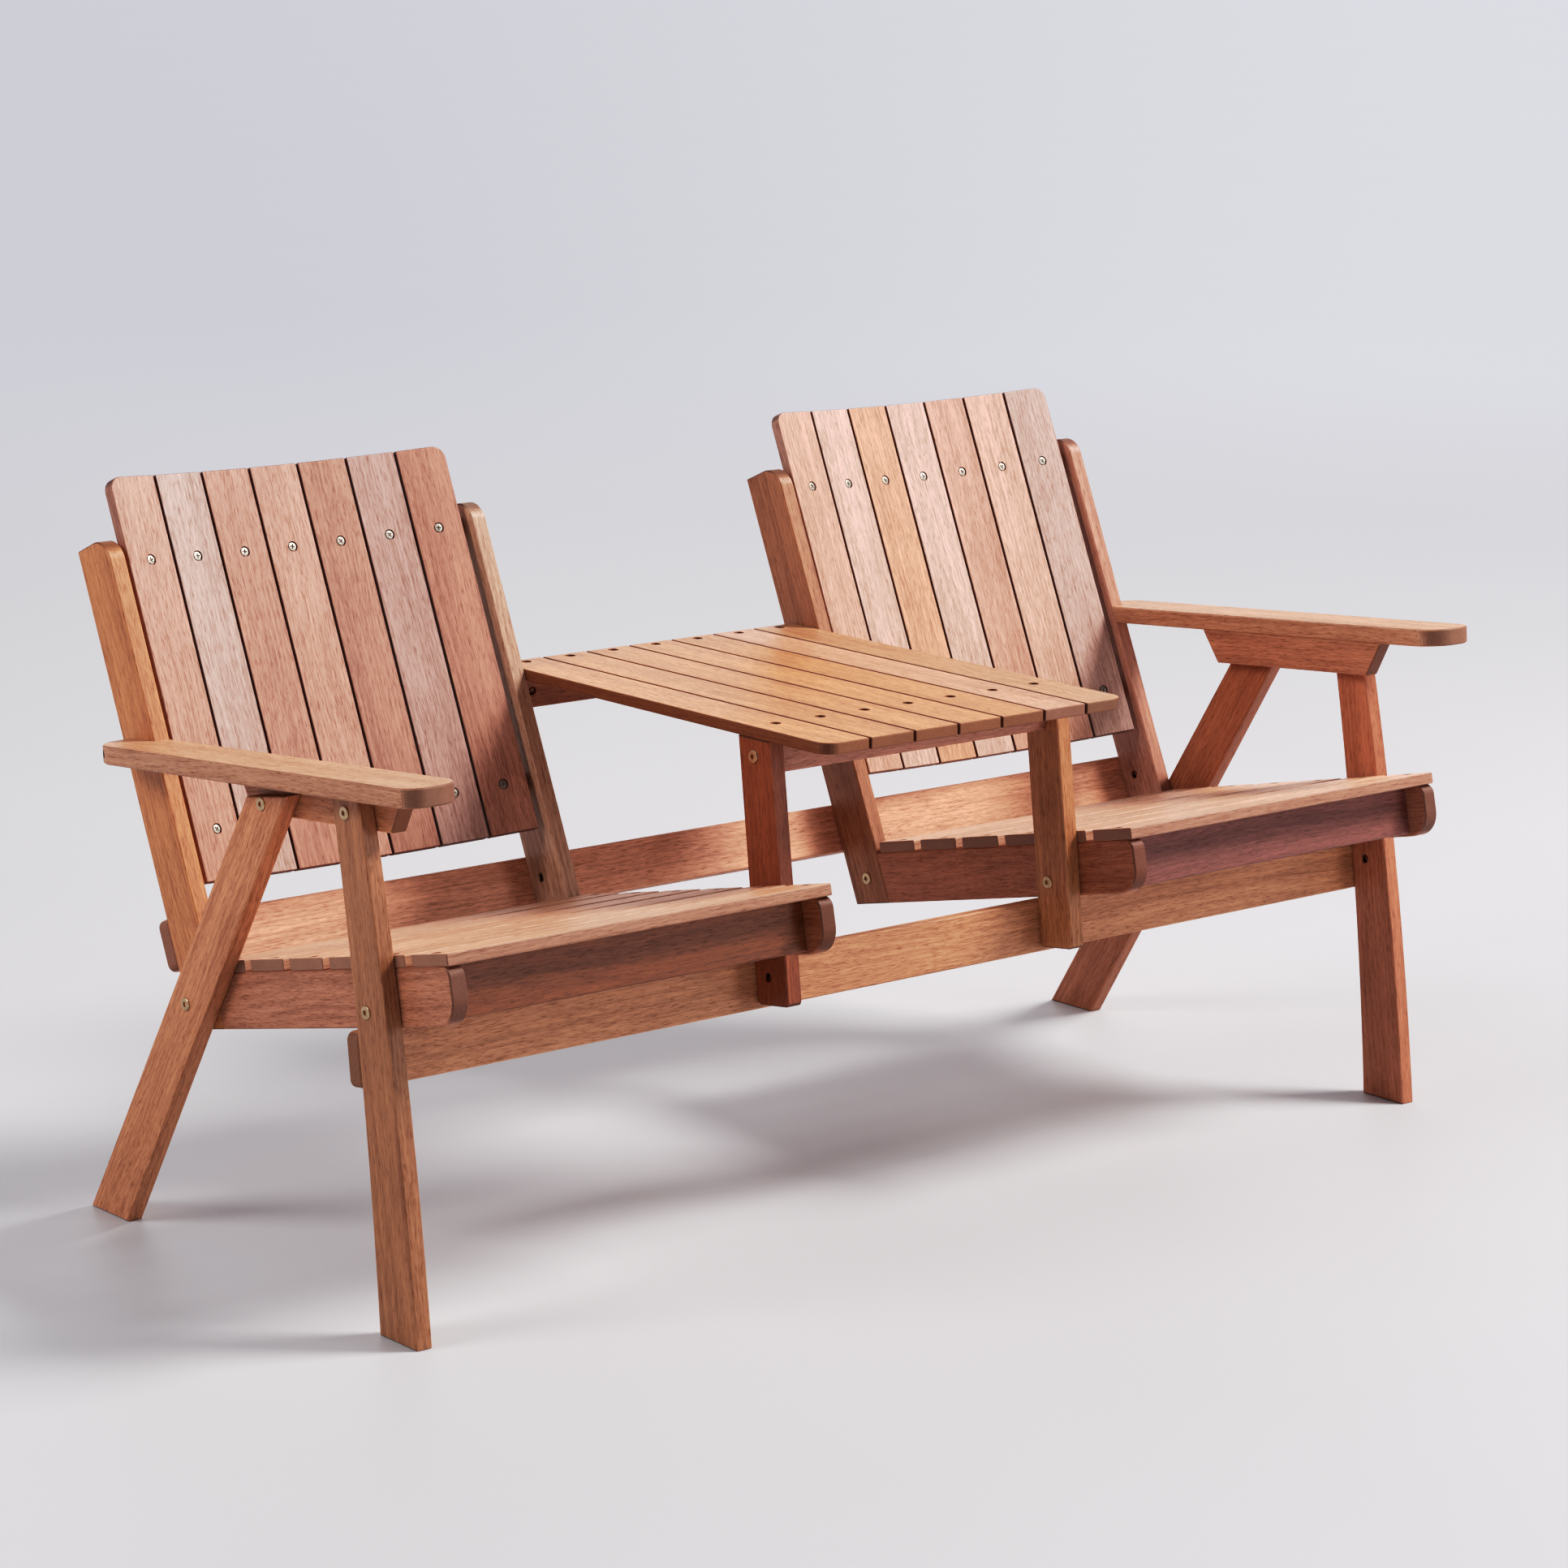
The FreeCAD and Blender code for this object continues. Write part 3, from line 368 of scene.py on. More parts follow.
def spun(bm, profile, sides=SIDES):
    """Rings of vertices for a profile of (radius, height), skinned and closed at its start."""
    rings = []
    for radius, height in profile:
        rings.append([bm.verts.new((radius * math.cos(2 * math.pi * k / sides),
                                    radius * math.sin(2 * math.pi * k / sides), height))
                      for k in range(sides)])
    for low, high in zip(rings, rings[1:]):
        for k in range(sides):
            after = (k + 1) % sides
            bm.faces.new((low[k], low[after], high[after], high[k]))
    bm.faces.new(rings[0][::-1])
    return rings[-1]


def zip_loops(bm, outer, inner):
    """Triangles between two loops that both go round the axis."""
    def bearing(vert):
        return math.atan2(vert.co.y, vert.co.x) % (2 * math.pi)

    outer, inner = sorted(outer, key=bearing), sorted(inner, key=bearing)
    i = j = 0
    while i < len(outer) or j < len(inner):
        next_out = bearing(outer[(i + 1) % len(outer)]) + 2 * math.pi * (i + 1 >= len(outer))
        next_in = bearing(inner[(j + 1) % len(inner)]) + 2 * math.pi * (j + 1 >= len(inner))
        here, there = outer[i % len(outer)], inner[j % len(inner)]
        if j >= len(inner) or (i < len(outer) and next_out <= next_in):
            bm.faces.new((here, outer[(i + 1) % len(outer)], there))
            i += 1
        else:
            bm.faces.new((here, inner[(j + 1) % len(inner)], there))
            j += 1


def fastener(name, profile, socket, depth, taper):
    """A spun body with a socket of that outline sunk into its head."""
    bm = bmesh.new()
    rim = spun(bm, profile)
    top = profile[-1][1]
    mouth = [bm.verts.new((x, y, top)) for x, y in socket]
    zip_loops(bm, rim, mouth)
    floor = [bm.verts.new((x * taper, y * taper, top - depth)) for x, y in socket]
    count = len(socket)
    for k in range(count):
        after = (k + 1) % count
        bm.faces.new((mouth[k], mouth[after], floor[after], floor[k]))
    bm.faces.new(floor)
    bmesh.ops.recalc_face_normals(bm, faces=bm.faces)
    mesh = bpy.data.meshes.new(name)
    bm.to_mesh(mesh)
    bm.free()
    return mesh


def hexagon(radius):
    return [(radius * math.cos(math.radians(60 * k)), radius * math.sin(math.radians(60 * k)))
            for k in range(6)]


# A cross has four arms of that reach and half width, and a slot is one bar.
ARM, HALF = 0.0029, 0.00078
CROSS = [(ARM, -HALF), (ARM, HALF), (HALF, HALF), (HALF, ARM), (-HALF, ARM), (-HALF, HALF),
         (-ARM, HALF), (-ARM, -HALF), (-HALF, -HALF), (-HALF, -ARM), (HALF, -ARM), (HALF, -HALF)]
SLOT_ARM, SLOT_HALF = 0.0049, 0.0007
SLOT = [(SLOT_ARM, -SLOT_HALF), (SLOT_ARM, SLOT_HALF), (-SLOT_ARM, SLOT_HALF),
        (-SLOT_ARM, -SLOT_HALF)]
BOLT_HEAD = 0.0020


def flat_bolt(name, length, core=0.0032):
    """A bolt of that core radius: its tip chamfered, its flat head rounded over the rim."""
    outline = [(core * 0.8, -length), (core, 0.0007 - length), (core, -0.0003),
               (0.0069, -0.0003), (0.00725, 0.0001), (0.00725, 0.0012), (0.0066, 0.0019),
               (0.0056, BOLT_HEAD)]
    return fastener(name, outline, hexagon(0.0030), depth=0.0024, taper=0.92)


def wood_screw(name, length):
    """A screw with a point, a shank and a countersunk head that ends level with the wood."""
    outline = [(0.0004, -length), (0.0019, 0.006 - length), (0.0019, -0.0042),
               (0.0042, -0.0009), (0.0046, -0.0005), (0.0045, -0.0001), (0.0040, 0.0)]
    return fastener(name, outline, CROSS, depth=0.0022, taper=0.5)


def cross_dowel(name, length):
    """A plain barrel with a slot right across its end."""
    outline = [(0.0047, -length), (0.0050, 0.0003 - length), (0.0050, -0.0003), (0.00495, 0.0)]
    return fastener(name, outline, SLOT, depth=0.0016, taper=0.98)


screw_mesh = wood_screw("countersunk_screw", 0.028)
dowel_mesh = cross_dowel("cross_dowel", 0.014)
print("screw:", len(screw_mesh.polygons), "faces; dowel:", len(dowel_mesh.polygons), "faces")

# %% [markdown]
# ## Where each fastener sits
# The frame's fasteners are plain headed pins. The head is the wider end of a pin, which gives the
# point where it meets the wood and the direction in which it goes in. A cross dowel has no head:
# its slotted end is the one that looks towards the middle of its chair, or of the table. Screws
# in the seats and the table are sunk well below the surface, as in the photo, and the other
# screws by less than a millimetre. The real dowels lie inside the boards and only their slotted
# ends show, in round holes, while the solids of the frame stand on the same faces. So a dowel is
# set from the end that touches the wood.

# %% Find the heads
CHAIR_MIDDLE = 0.466
SAME_PLACE = 1e-4


def dowel_seat(place, size):
    """(point on the wood, direction into it) for a cross dowel."""
    axis = place.col[0].xyz
    ends = [place.translation + axis * half for half in (-size[0] / 2, size[0] / 2)]

    def off_centre(end):
        sideways = abs(axis.x) > abs(axis.y)
        return abs(abs(end.x) - CHAIR_MIDDLE) if sideways else abs(end.y)

    near, far = sorted(ends, key=off_centre)
    return far, (far - near).normalized()


def pin_seat(solid, axis):
    """(point on the wood, direction into it) for a pin with a head."""
    points = [vert.co.copy() for vert in solid.verts]
    middle = sum(points, Vector()) / len(points)
    reach = [(point - middle).dot(axis) for point in points]
    low, high = min(reach), max(reach)

    def width(end):
        return max((point - middle - axis * far).length
                   for point, far in zip(points, reach) if abs(far - end) < SAME_PLACE)

    head, tip = (low, high) if width(low) > width(high) else (high, low)
    rim = [point - axis * far for point, far in zip(points, reach)
           if abs(far - head) < SAME_PLACE]
    centre = sum(rim, Vector()) / len(rim)
    return centre + axis * head, (axis * (1 if tip > head else -1)).normalized()


def seats_of(node):
    """The seat of every fastener of a node."""
    seats = []
    for solid in solids_of(node):
        place, size = measure(solid)
        if node == "cross_dowels":
            seats.append(dowel_seat(place, size))
        else:
            seats.append(pin_seat(solid, place.col[0].xyz))
    return seats


HEADS = {node: seats_of(node) for node in (
    "back_screws", "seat_screws", "table_screws", "arm_screws", "side_bolts", "lap_bolts",
    "long_bolts", "cap_nuts", "cross_dowels")}
# How far each kind lies below the face of the wood.
SUNK = {"back_screws": 0.0009, "seat_screws": 0.0022, "table_screws": 0.0030,
        "arm_screws": 0.0003, "cross_dowels": 0.0028}
print({node: len(heads) for node, heads in HEADS.items()})

# %% [markdown]
# ## Fasteners by Geometry Nodes
# All screws of a kind are one tree's work. Its points are vertices that carry an attribute, aim,
# which says where the head looks. The tree puts the fastener on each point, stands it up along
# aim and turns it by a random angle, because no two screws stop at the same one.

# %% Build the tree that sets fasteners
FULL_TURN = 6.283


def new_geometry_tree(name, inputs):
    group = bpy.data.node_groups.new(name, "GeometryNodeTree")
    group.is_modifier = True
    group.interface.new_socket("Geometry", in_out="INPUT", socket_type="NodeSocketGeometry")
    for label, kind in inputs:
        group.interface.new_socket(label, in_out="INPUT", socket_type="NodeSocket" + kind)
    group.interface.new_socket("Geometry", in_out="OUTPUT", socket_type="NodeSocketGeometry")
    return group, Tree(group)


def give(modifier, values):
    """Set a modifier's inputs, each by its socket's identifier."""
    for item in modifier.node_group.interface.items_tree:
        if item.item_type == "SOCKET" and item.in_out == "INPUT" and item.name in values:
            modifier[item.identifier] = values[item.name]


def build_fastener_tree():
    group, tree = new_geometry_tree("set_fasteners", [
        ("Fastener", "Object"), ("Seed", "Int"), ("Finish", "Material")])
    given = tree.add("NodeGroupInput")
    shape = tree.add("GeometryNodeObjectInfo", {"transform_space": "ORIGINAL"},
                     {"Object": given.other("Fastener")}, output="Geometry")
    aim = tree.add("GeometryNodeInputNamedAttribute", {"data_type": "FLOAT_VECTOR"},
                   {"Name": "aim"})
    stand = tree.add("FunctionNodeAlignRotationToVector", {"axis": "Z"}, {"Vector": aim})
    angle = tree.add("FunctionNodeRandomValue", {"data_type": "FLOAT"},
                     {2: 0.0, 3: FULL_TURN, "Seed": given.other("Seed")}, output=1)
    spin = tree.add("FunctionNodeAxisAngleToRotation", {}, {"Axis": (0, 0, 1), "Angle": angle})
    turned = tree.add("FunctionNodeRotateRotation", {"rotation_space": "LOCAL"},
                      {"Rotation": stand, "Rotate By": spin})
    placed = tree.add("GeometryNodeInstanceOnPoints", {}, {
        "Points": given.other("Geometry"), "Instance": shape, "Rotation": turned})
    real = tree.add("GeometryNodeRealizeInstances", {}, {"Geometry": placed})
    painted = tree.add("GeometryNodeSetMaterial", {}, {
        "Geometry": real, "Material": given.other("Finish")})
    tree.add("NodeGroupOutput", {}, {"Geometry": painted})
    return group


fastener_tree = build_fastener_tree()
print("fastener tree:", len(fastener_tree.nodes), "nodes")

# %% [markdown]
# ## From a modifier to a finished piece
# A modifier's result is only a promise until it is turned into a plain mesh. That mesh goes in an
# object of its own, which stands for its nodes of the frame and rides on the bench's one body.

# %% Write the helpers that every piece uses
def evaluated_mesh(thing, name):
    """The plain mesh that an object's modifiers make."""
    bpy.context.view_layer.update()
    graph = bpy.context.evaluated_depsgraph_get()
    mesh = bpy.data.meshes.new_from_object(thing.evaluated_get(graph), depsgraph=graph)
    mesh.name = name
    return mesh


def link(name, mesh):
    thing = bpy.data.objects.new(name, mesh)
    bpy.context.scene.collection.objects.link(thing)
    return thing


def discard(thing):
    bpy.data.objects.remove(thing)


def join_body(thing, slot, *nodes):
    """The finished piece stands for these nodes and rides on the bench's one body."""
    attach(thing, "root")
    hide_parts(*nodes)


def shade_smooth(mesh, sharpest):
    """Smooth shading, broken where two faces meet at more than that many degrees."""
    mesh.polygons.foreach_set("use_smooth", [True] * len(mesh.polygons))
    mesh.set_sharp_from_angle(angle=math.radians(sharpest))


print("pieces can be finished")

# %% [markdown]
# ## Setting the fasteners
# Screws, bolts, nuts and dowels all go in by one function, which sinks each kind by its own
# depth. A bolt's head stands on the wood, and its pin in the frame begins at the head's flat top,
# so its seat is the head's thickness further in.

# %% Set all fasteners
METAL_EDGE = 34


def set_fasteners(node, shape, finish, seed):
    pattern = link(shape.name + "_pattern", shape)
    heads = HEADS[node]
    points = bpy.data.meshes.new(node + "_points")
    depth = SUNK.get(node, 0.0)
    points.from_pydata([point + aim * depth for point, aim in heads], [], [])
    attribute = points.attributes.new("aim", "FLOAT_VECTOR", "POINT")
    attribute.data.foreach_set("vector", [v for point, aim in heads for v in -aim])
    holder = link(node + "_holder", points)
    modifier = holder.modifiers.new("set_fasteners", "NODES")
    modifier.node_group = fastener_tree
    give(modifier, {"Fastener": pattern, "Seed": seed, "Finish": finish})
    mesh = evaluated_mesh(holder, node + "_set")
    discard(holder)
    discard(pattern)
    shade_smooth(mesh, METAL_EDGE)
    piece = link(node + "_set", mesh)
    join_body(piece, "zinc_steel", node)
    print(f"{node}: {len(heads)} set, {len(mesh.polygons)} faces")


for node in ("side_bolts", "lap_bolts", "long_bolts", "cap_nuts"):
    HEADS[node] = [(point + aim * BOLT_HEAD, aim) for point, aim in HEADS[node]]
for seed, node in enumerate(("back_screws", "seat_screws", "table_screws", "arm_screws")):
    set_fasteners(node, screw_mesh, bright_zinc, seed)
for seed, (node, length) in enumerate((("side_bolts", 0.034), ("lap_bolts", 0.017),
                                       ("long_bolts", 0.053))):
    set_fasteners(node, flat_bolt(node + "_bolt", length), yellow_zinc, seed + 10)
set_fasteners("cap_nuts", flat_bolt("cap_nut", 0.005, 0.0045), yellow_zinc, 20)
set_fasteners("cross_dowels", dowel_mesh, dull_brass, 30)

# %% [markdown]
# ## Countersinks
# A screw that is only pressed against a board looks drawn on. The boards get real countersinks:
# one spun cutter for each screw and dowel, all joined in one object, which a Boolean modifier
# takes away from the slats and from the frame boards that are listed to be sunk.

# %% Make the cutters
CUTTER_SIDES = 20
ABOVE = -0.0004


def hole(node):
    """(radius, depth) down the hole of a fastener, from just above the wood."""
    deep = SUNK[node]
    if node == "cross_dowels":
        return [(0.0055, ABOVE), (0.0055, 0.0), (0.0051, 0.0004), (0.0051, deep)]
    if node == "arm_screws":
        return [(0.0049, ABOVE), (0.0049, deep)]
    return [(0.0062, ABOVE), (0.0062, 0.0001), (0.0056, deep + 0.0014)]


def cutter(bm, point, aim, profile):
    """A closed plug with that profile, set into the wood."""
    place = aim.to_track_quat("Z", "Y").to_matrix().to_4x4()
    place.translation = point
    before = set(bm.verts)
    rim = spun(bm, profile, CUTTER_SIDES)
    bm.faces.new(rim)
    fresh = [vert for vert in bm.verts if vert not in before]
    bmesh.ops.transform(bm, matrix=place, verts=fresh)


def make_cutters():
    bm = bmesh.new()
    for node in SUNK:
        for point, aim in HEADS[node]:
            cutter(bm, point, aim, hole(node))
    bmesh.ops.recalc_face_normals(bm, faces=bm.faces)
    mesh = bpy.data.meshes.new("countersinks")
    bm.to_mesh(mesh)
    bm.free()
    return link("countersinks", mesh)


cutters = make_cutters()
print("cutters:", len(cutters.data.vertices), "vertices")

# %% [markdown]
# ## Colours of the boards
# No two boards of the bench come from the same plank. The backs are pinkish with a few greyer
# slats, the table and the seats are honey coloured, and the frame runs from amber to dark
# brown. The right seat is a paler straw than the left, partly as painted light and sheen. A small
# palette holds these tones, and a list says which board is cut from which.

# %% Choose a tone for each board
TONES = {
    "straw": (0.66, 0.39, 0.27), "honey": (0.545, 0.247, 0.115), "sand": (0.50, 0.26, 0.15),
    "wheat": (0.54, 0.305, 0.20), "peach": (0.57, 0.305, 0.205), "gold": (0.41, 0.195, 0.095),
    # The right seat's tone below is a paler straw, partly painted light for the brighter light and
    # sheen on that seat.
    "lit_straw": (0.70, 0.43, 0.315),
    "blush": (0.62, 0.43, 0.375), "pale_rose": (0.58, 0.355, 0.285), "rose": (0.49, 0.27, 0.21),
    "ash_rose": (0.46, 0.315, 0.285), "dusk_rose": (0.41, 0.265, 0.24),
    "salmon": (0.41, 0.205, 0.15), "coral": (0.66, 0.34, 0.23), "clay": (0.40, 0.19, 0.12),
    "brick": (0.35, 0.165, 0.11), "amber": (0.52, 0.235, 0.108), "copper": (0.49, 0.235, 0.13),
    "ash": (0.48, 0.30, 0.215), "oak": (0.34, 0.165, 0.088), "chestnut": (0.38, 0.156, 0.09),
    "russet": (0.34, 0.135, 0.07), "umber": (0.33, 0.145, 0.075), "plum": (0.19, 0.075, 0.065),
    "cocoa": (0.18, 0.058, 0.02), "mahogany": (0.26, 0.078, 0.032),
}
BOARD_TONES = {
    "left_back": ["rose", "ash_rose", "salmon", "rose", "salmon", "dusk_rose", "salmon"],
    "right_back": ["pale_rose", "blush", "peach", "blush", "rose", "pale_rose", "ash_rose"],
    "left_seat": ["straw"] * 6, "right_seat": ["lit_straw"] * 6,
    "table": ["honey", "honey", "honey", "honey", "honey", "peach", "sand"],
    "left_outer_post": ["amber"], "left_inner_post": ["ash"],
    "right_outer_post": ["salmon"], "right_inner_post": ["umber"],
    "left_outer_side_rail": ["clay"], "left_inner_side_rail": ["russet"],
    "right_outer_side_rail": ["brick"], "right_inner_side_rail": ["chestnut"],
    "left_apron": ["cocoa"], "right_apron": ["plum"],
    "left_front_leg": ["oak"], "left_rear_leg": ["copper"],
    "right_front_leg": ["chestnut"], "right_rear_leg": ["russet"],
    "left_arm": ["wheat"], "right_arm": ["wheat"],
    "left_cleat": ["copper"], "right_cleat": ["clay"],
    "left_table_post": ["mahogany"], "right_table_post": ["gold"],
    "front_rail": ["sand"], "rear_rail": ["coral"],
    "table_front_cross_rail": ["salmon"], "table_rear_cross_rail": ["russet"],
    "left_lower_batten": ["salmon"], "left_upper_batten": ["salmon"],
    "right_lower_batten": ["salmon"], "right_upper_batten": ["salmon"],
}
print(len(TONES), "tones")

# %% [markdown]
# ## The grain of a board
# Each board gets its grain: its long direction, a heart somewhere beside it, and its tone. Faces
# that look along the board are sawn ends, and narrow ones are rounded arrises. The long sides of
# slats and arms are painted darker as shade, most of all between two slats, where the gaps fall
# dark. All this goes into attributes, which the wood reads. The hearts and the small differences
# in tone come from dice with a fixed seed.

# %% Give a board its grain
ARRIS_STRIP = 0.0026
dice = random.Random(11)


def ramp(value, start, length):
    """0 up to start, rising to 1 over that length."""
    return min(1.0, max(0.0, (value - start) / length))


def grain_frame(solid):
    """Where a point lies in its tree, in metres, and the board's long and wide directions."""
    place, _ = measure(solid)
    back = place.inverted()
    distance, bearing = dice.uniform(0.05, 0.22), dice.uniform(0.25, 1.32)
    heart = Vector((dice.uniform(-20, 20), distance * math.cos(bearing),
                    distance * math.sin(bearing)))
    tilt = Matrix.Rotation(dice.uniform(-0.03, 0.03), 4, "Y")
    return lambda point: tilt @ (back @ point) + heart, place.col[0].xyz, place.col[1].xyz


def boards_of(bm):
    """The vertices of each loose board, with the boards in order from left to right."""
    seen, boards = set(), []
    for vert in bm.verts:
        if vert in seen:
            continue
        seen.add(vert)
        reached, board = [vert], [vert]
        while reached:
            for edge in reached.pop().link_edges:
                for end in edge.verts:
                    if end not in seen:
                        seen.add(end)
                        reached.append(end)
                        board.append(end)
        boards.append(board)
    return sorted(boards, key=lambda board: [
        round(sum(vert.co[axis] for vert in board) / len(board), 3) for axis in (0, 1)])


def centre_of(verts):
    return sum((vert.co for vert in verts), Vector()) / len(verts)


def grained(mesh, tones, side_shade_levels):
    """Give the boards of a mesh their grain, tone, sawn ends, arrises and painted shade on their
    sides.
    """
    bm = bmesh.new()
    bm.from_mesh(mesh)
    bm.verts.index_update()
    bm.faces.index_update()
    grain = np.zeros((len(bm.verts), 3))
    tone = np.ones((len(bm.verts), 4))
    sawn, arris, seam = (np.zeros(len(bm.faces)) for _ in range(3))
    middle = centre_of(bm.verts)
    boards = boards_of(bm)
    for rank, board in enumerate(boards):
        members = set(board)
        faces = [face for face in bm.faces if face.verts[0] in members]
        solid = loose_copy(faces)
        to_grain, along, across = grain_frame(solid)
        solid.free()
        outward = centre_of(board) - middle
        outermost = rank in (0, len(boards) - 1)
        shade = dice.uniform(0.94, 1.06)
        colour = [value * shade for value in TONES[tones[rank % len(tones)]]]
        for vert in board:
            grain[vert.index] = to_grain(vert.co)
            tone[vert.index][:3] = colour
        for face in faces:
            sawn[face.index] = ramp(abs(face.normal.dot(along)), 0.30, 0.30)
            # The long sides get painted shade: one level outside the row, the other between two
            # slats.
            if side_shade_levels:
                outside = outermost and (len(boards) == 1 or face.normal.dot(outward) > 0)
                aside = ramp(abs(face.normal.dot(across)), 0.15, 0.45)
                seam[face.index] = aside * side_shade_levels[0 if outside else 1]
            longest = max(edge.calc_length() for edge in face.edges)
            arris[face.index] = float(face.calc_area() / longest < ARRIS_STRIP)
    bm.free()
    for name, kind, key, domain, data in (
            ("grain", "FLOAT_VECTOR", "vector", "POINT", grain),
            ("tone", "FLOAT_COLOR", "color", "POINT", tone),
            ("sawn_end", "FLOAT", "value", "FACE", sawn),
            ("arris", "FLOAT", "value", "FACE", arris),
            ("seam", "FLOAT", "value", "FACE", seam)):
        mesh.attributes.new(name, kind, domain).data.foreach_set(key, data.ravel().tolist())
    return len(boards)


# The long sides of the boards take painted shade.
print("grain, tone, sawn ends, arrises and seams can be given")

# %% [markdown]
# ## Finishing a board
# Every board gets the same treatment once its shape is there. The sharp arrises are rounded by a
# Bevel modifier, the Boolean cuts the countersinks, and the result is turned into a plain mesh,
# in which the finest slivers are closed up. Weighted Normal then keeps the wide faces flat under
# smooth shading, and the board gets its grain.

# %% Write the finishing steps
SLIVER = 1e-5
# An edge sharper than the first angle is rounded, and one sharper than the second stays crisp.
ARRIS_ANGLE, WOOD_EDGE = 38, 50


def cleaned(mesh):
    """Close up the slivers under a hundredth of a millimetre that rounding and cutting leave."""
    bm = bmesh.new()
    bm.from_mesh(mesh)
    bmesh.ops.dissolve_degenerate(bm, dist=SLIVER, edges=bm.edges)
    bm.to_mesh(mesh)
    bm.free()
    return mesh


def flattened(mesh, name):
    """Smooth shading that leaves the wide faces flat and the cut holes crisp."""
    shade_smooth(mesh, WOOD_EDGE)
    holder = link(name + "_holder", mesh)
    holder.modifiers.new("flat_faces", "WEIGHTED_NORMAL").keep_sharp = True
    flat = evaluated_mesh(holder, name)
    discard(holder)
    return flat


def finish_boards(thing, name, tones, nodes, arris, segments=3, sink=False, side_shade_levels=None):
    """Round, countersink and grain the boards of an object, and ride them on the bench."""
    rounder = thing.modifiers.new("arris", "BEVEL")
    rounder.width, rounder.segments = arris, segments
    rounder.limit_method, rounder.angle_limit = "ANGLE", math.radians(ARRIS_ANGLE)
    if sink:
        sinker = thing.modifiers.new("countersink", "BOOLEAN")
        sinker.object, sinker.operation, sinker.solver = cutters, "DIFFERENCE", "EXACT"
    mesh = evaluated_mesh(thing, name)
    mesh.transform(thing.matrix_world)
    discard(thing)
    mesh = flattened(cleaned(mesh), name)
    mesh.materials.clear()
    mesh.materials.append(oiled_wood)
    count = grained(mesh, tones, side_shade_levels)
    piece = link(name, mesh)
    join_body(piece, "oiled_hardwood", *nodes)
    print(f"{name}: {count} boards, {len(mesh.polygons)} faces")


print("boards can be finished")

# %% [markdown]
# ## Slats by Geometry Nodes
# The seats, the backs and the table are rows of equal slats, so one tree makes all five rows. It
# draws the outlines side by side, rounds only the outer corners of the outermost slats, fills and
# thickens them, and then sets each slat on its own chord of the hollow. A straight row is the same
# tree with no turn. The slats stay flat, as they are in the photo, where the scoop of a back is
# made of seven flat boards.

# %% Build the tree of a slat row
JOINED = 1e-5
ALMOST_STRAIGHT = 1e-6


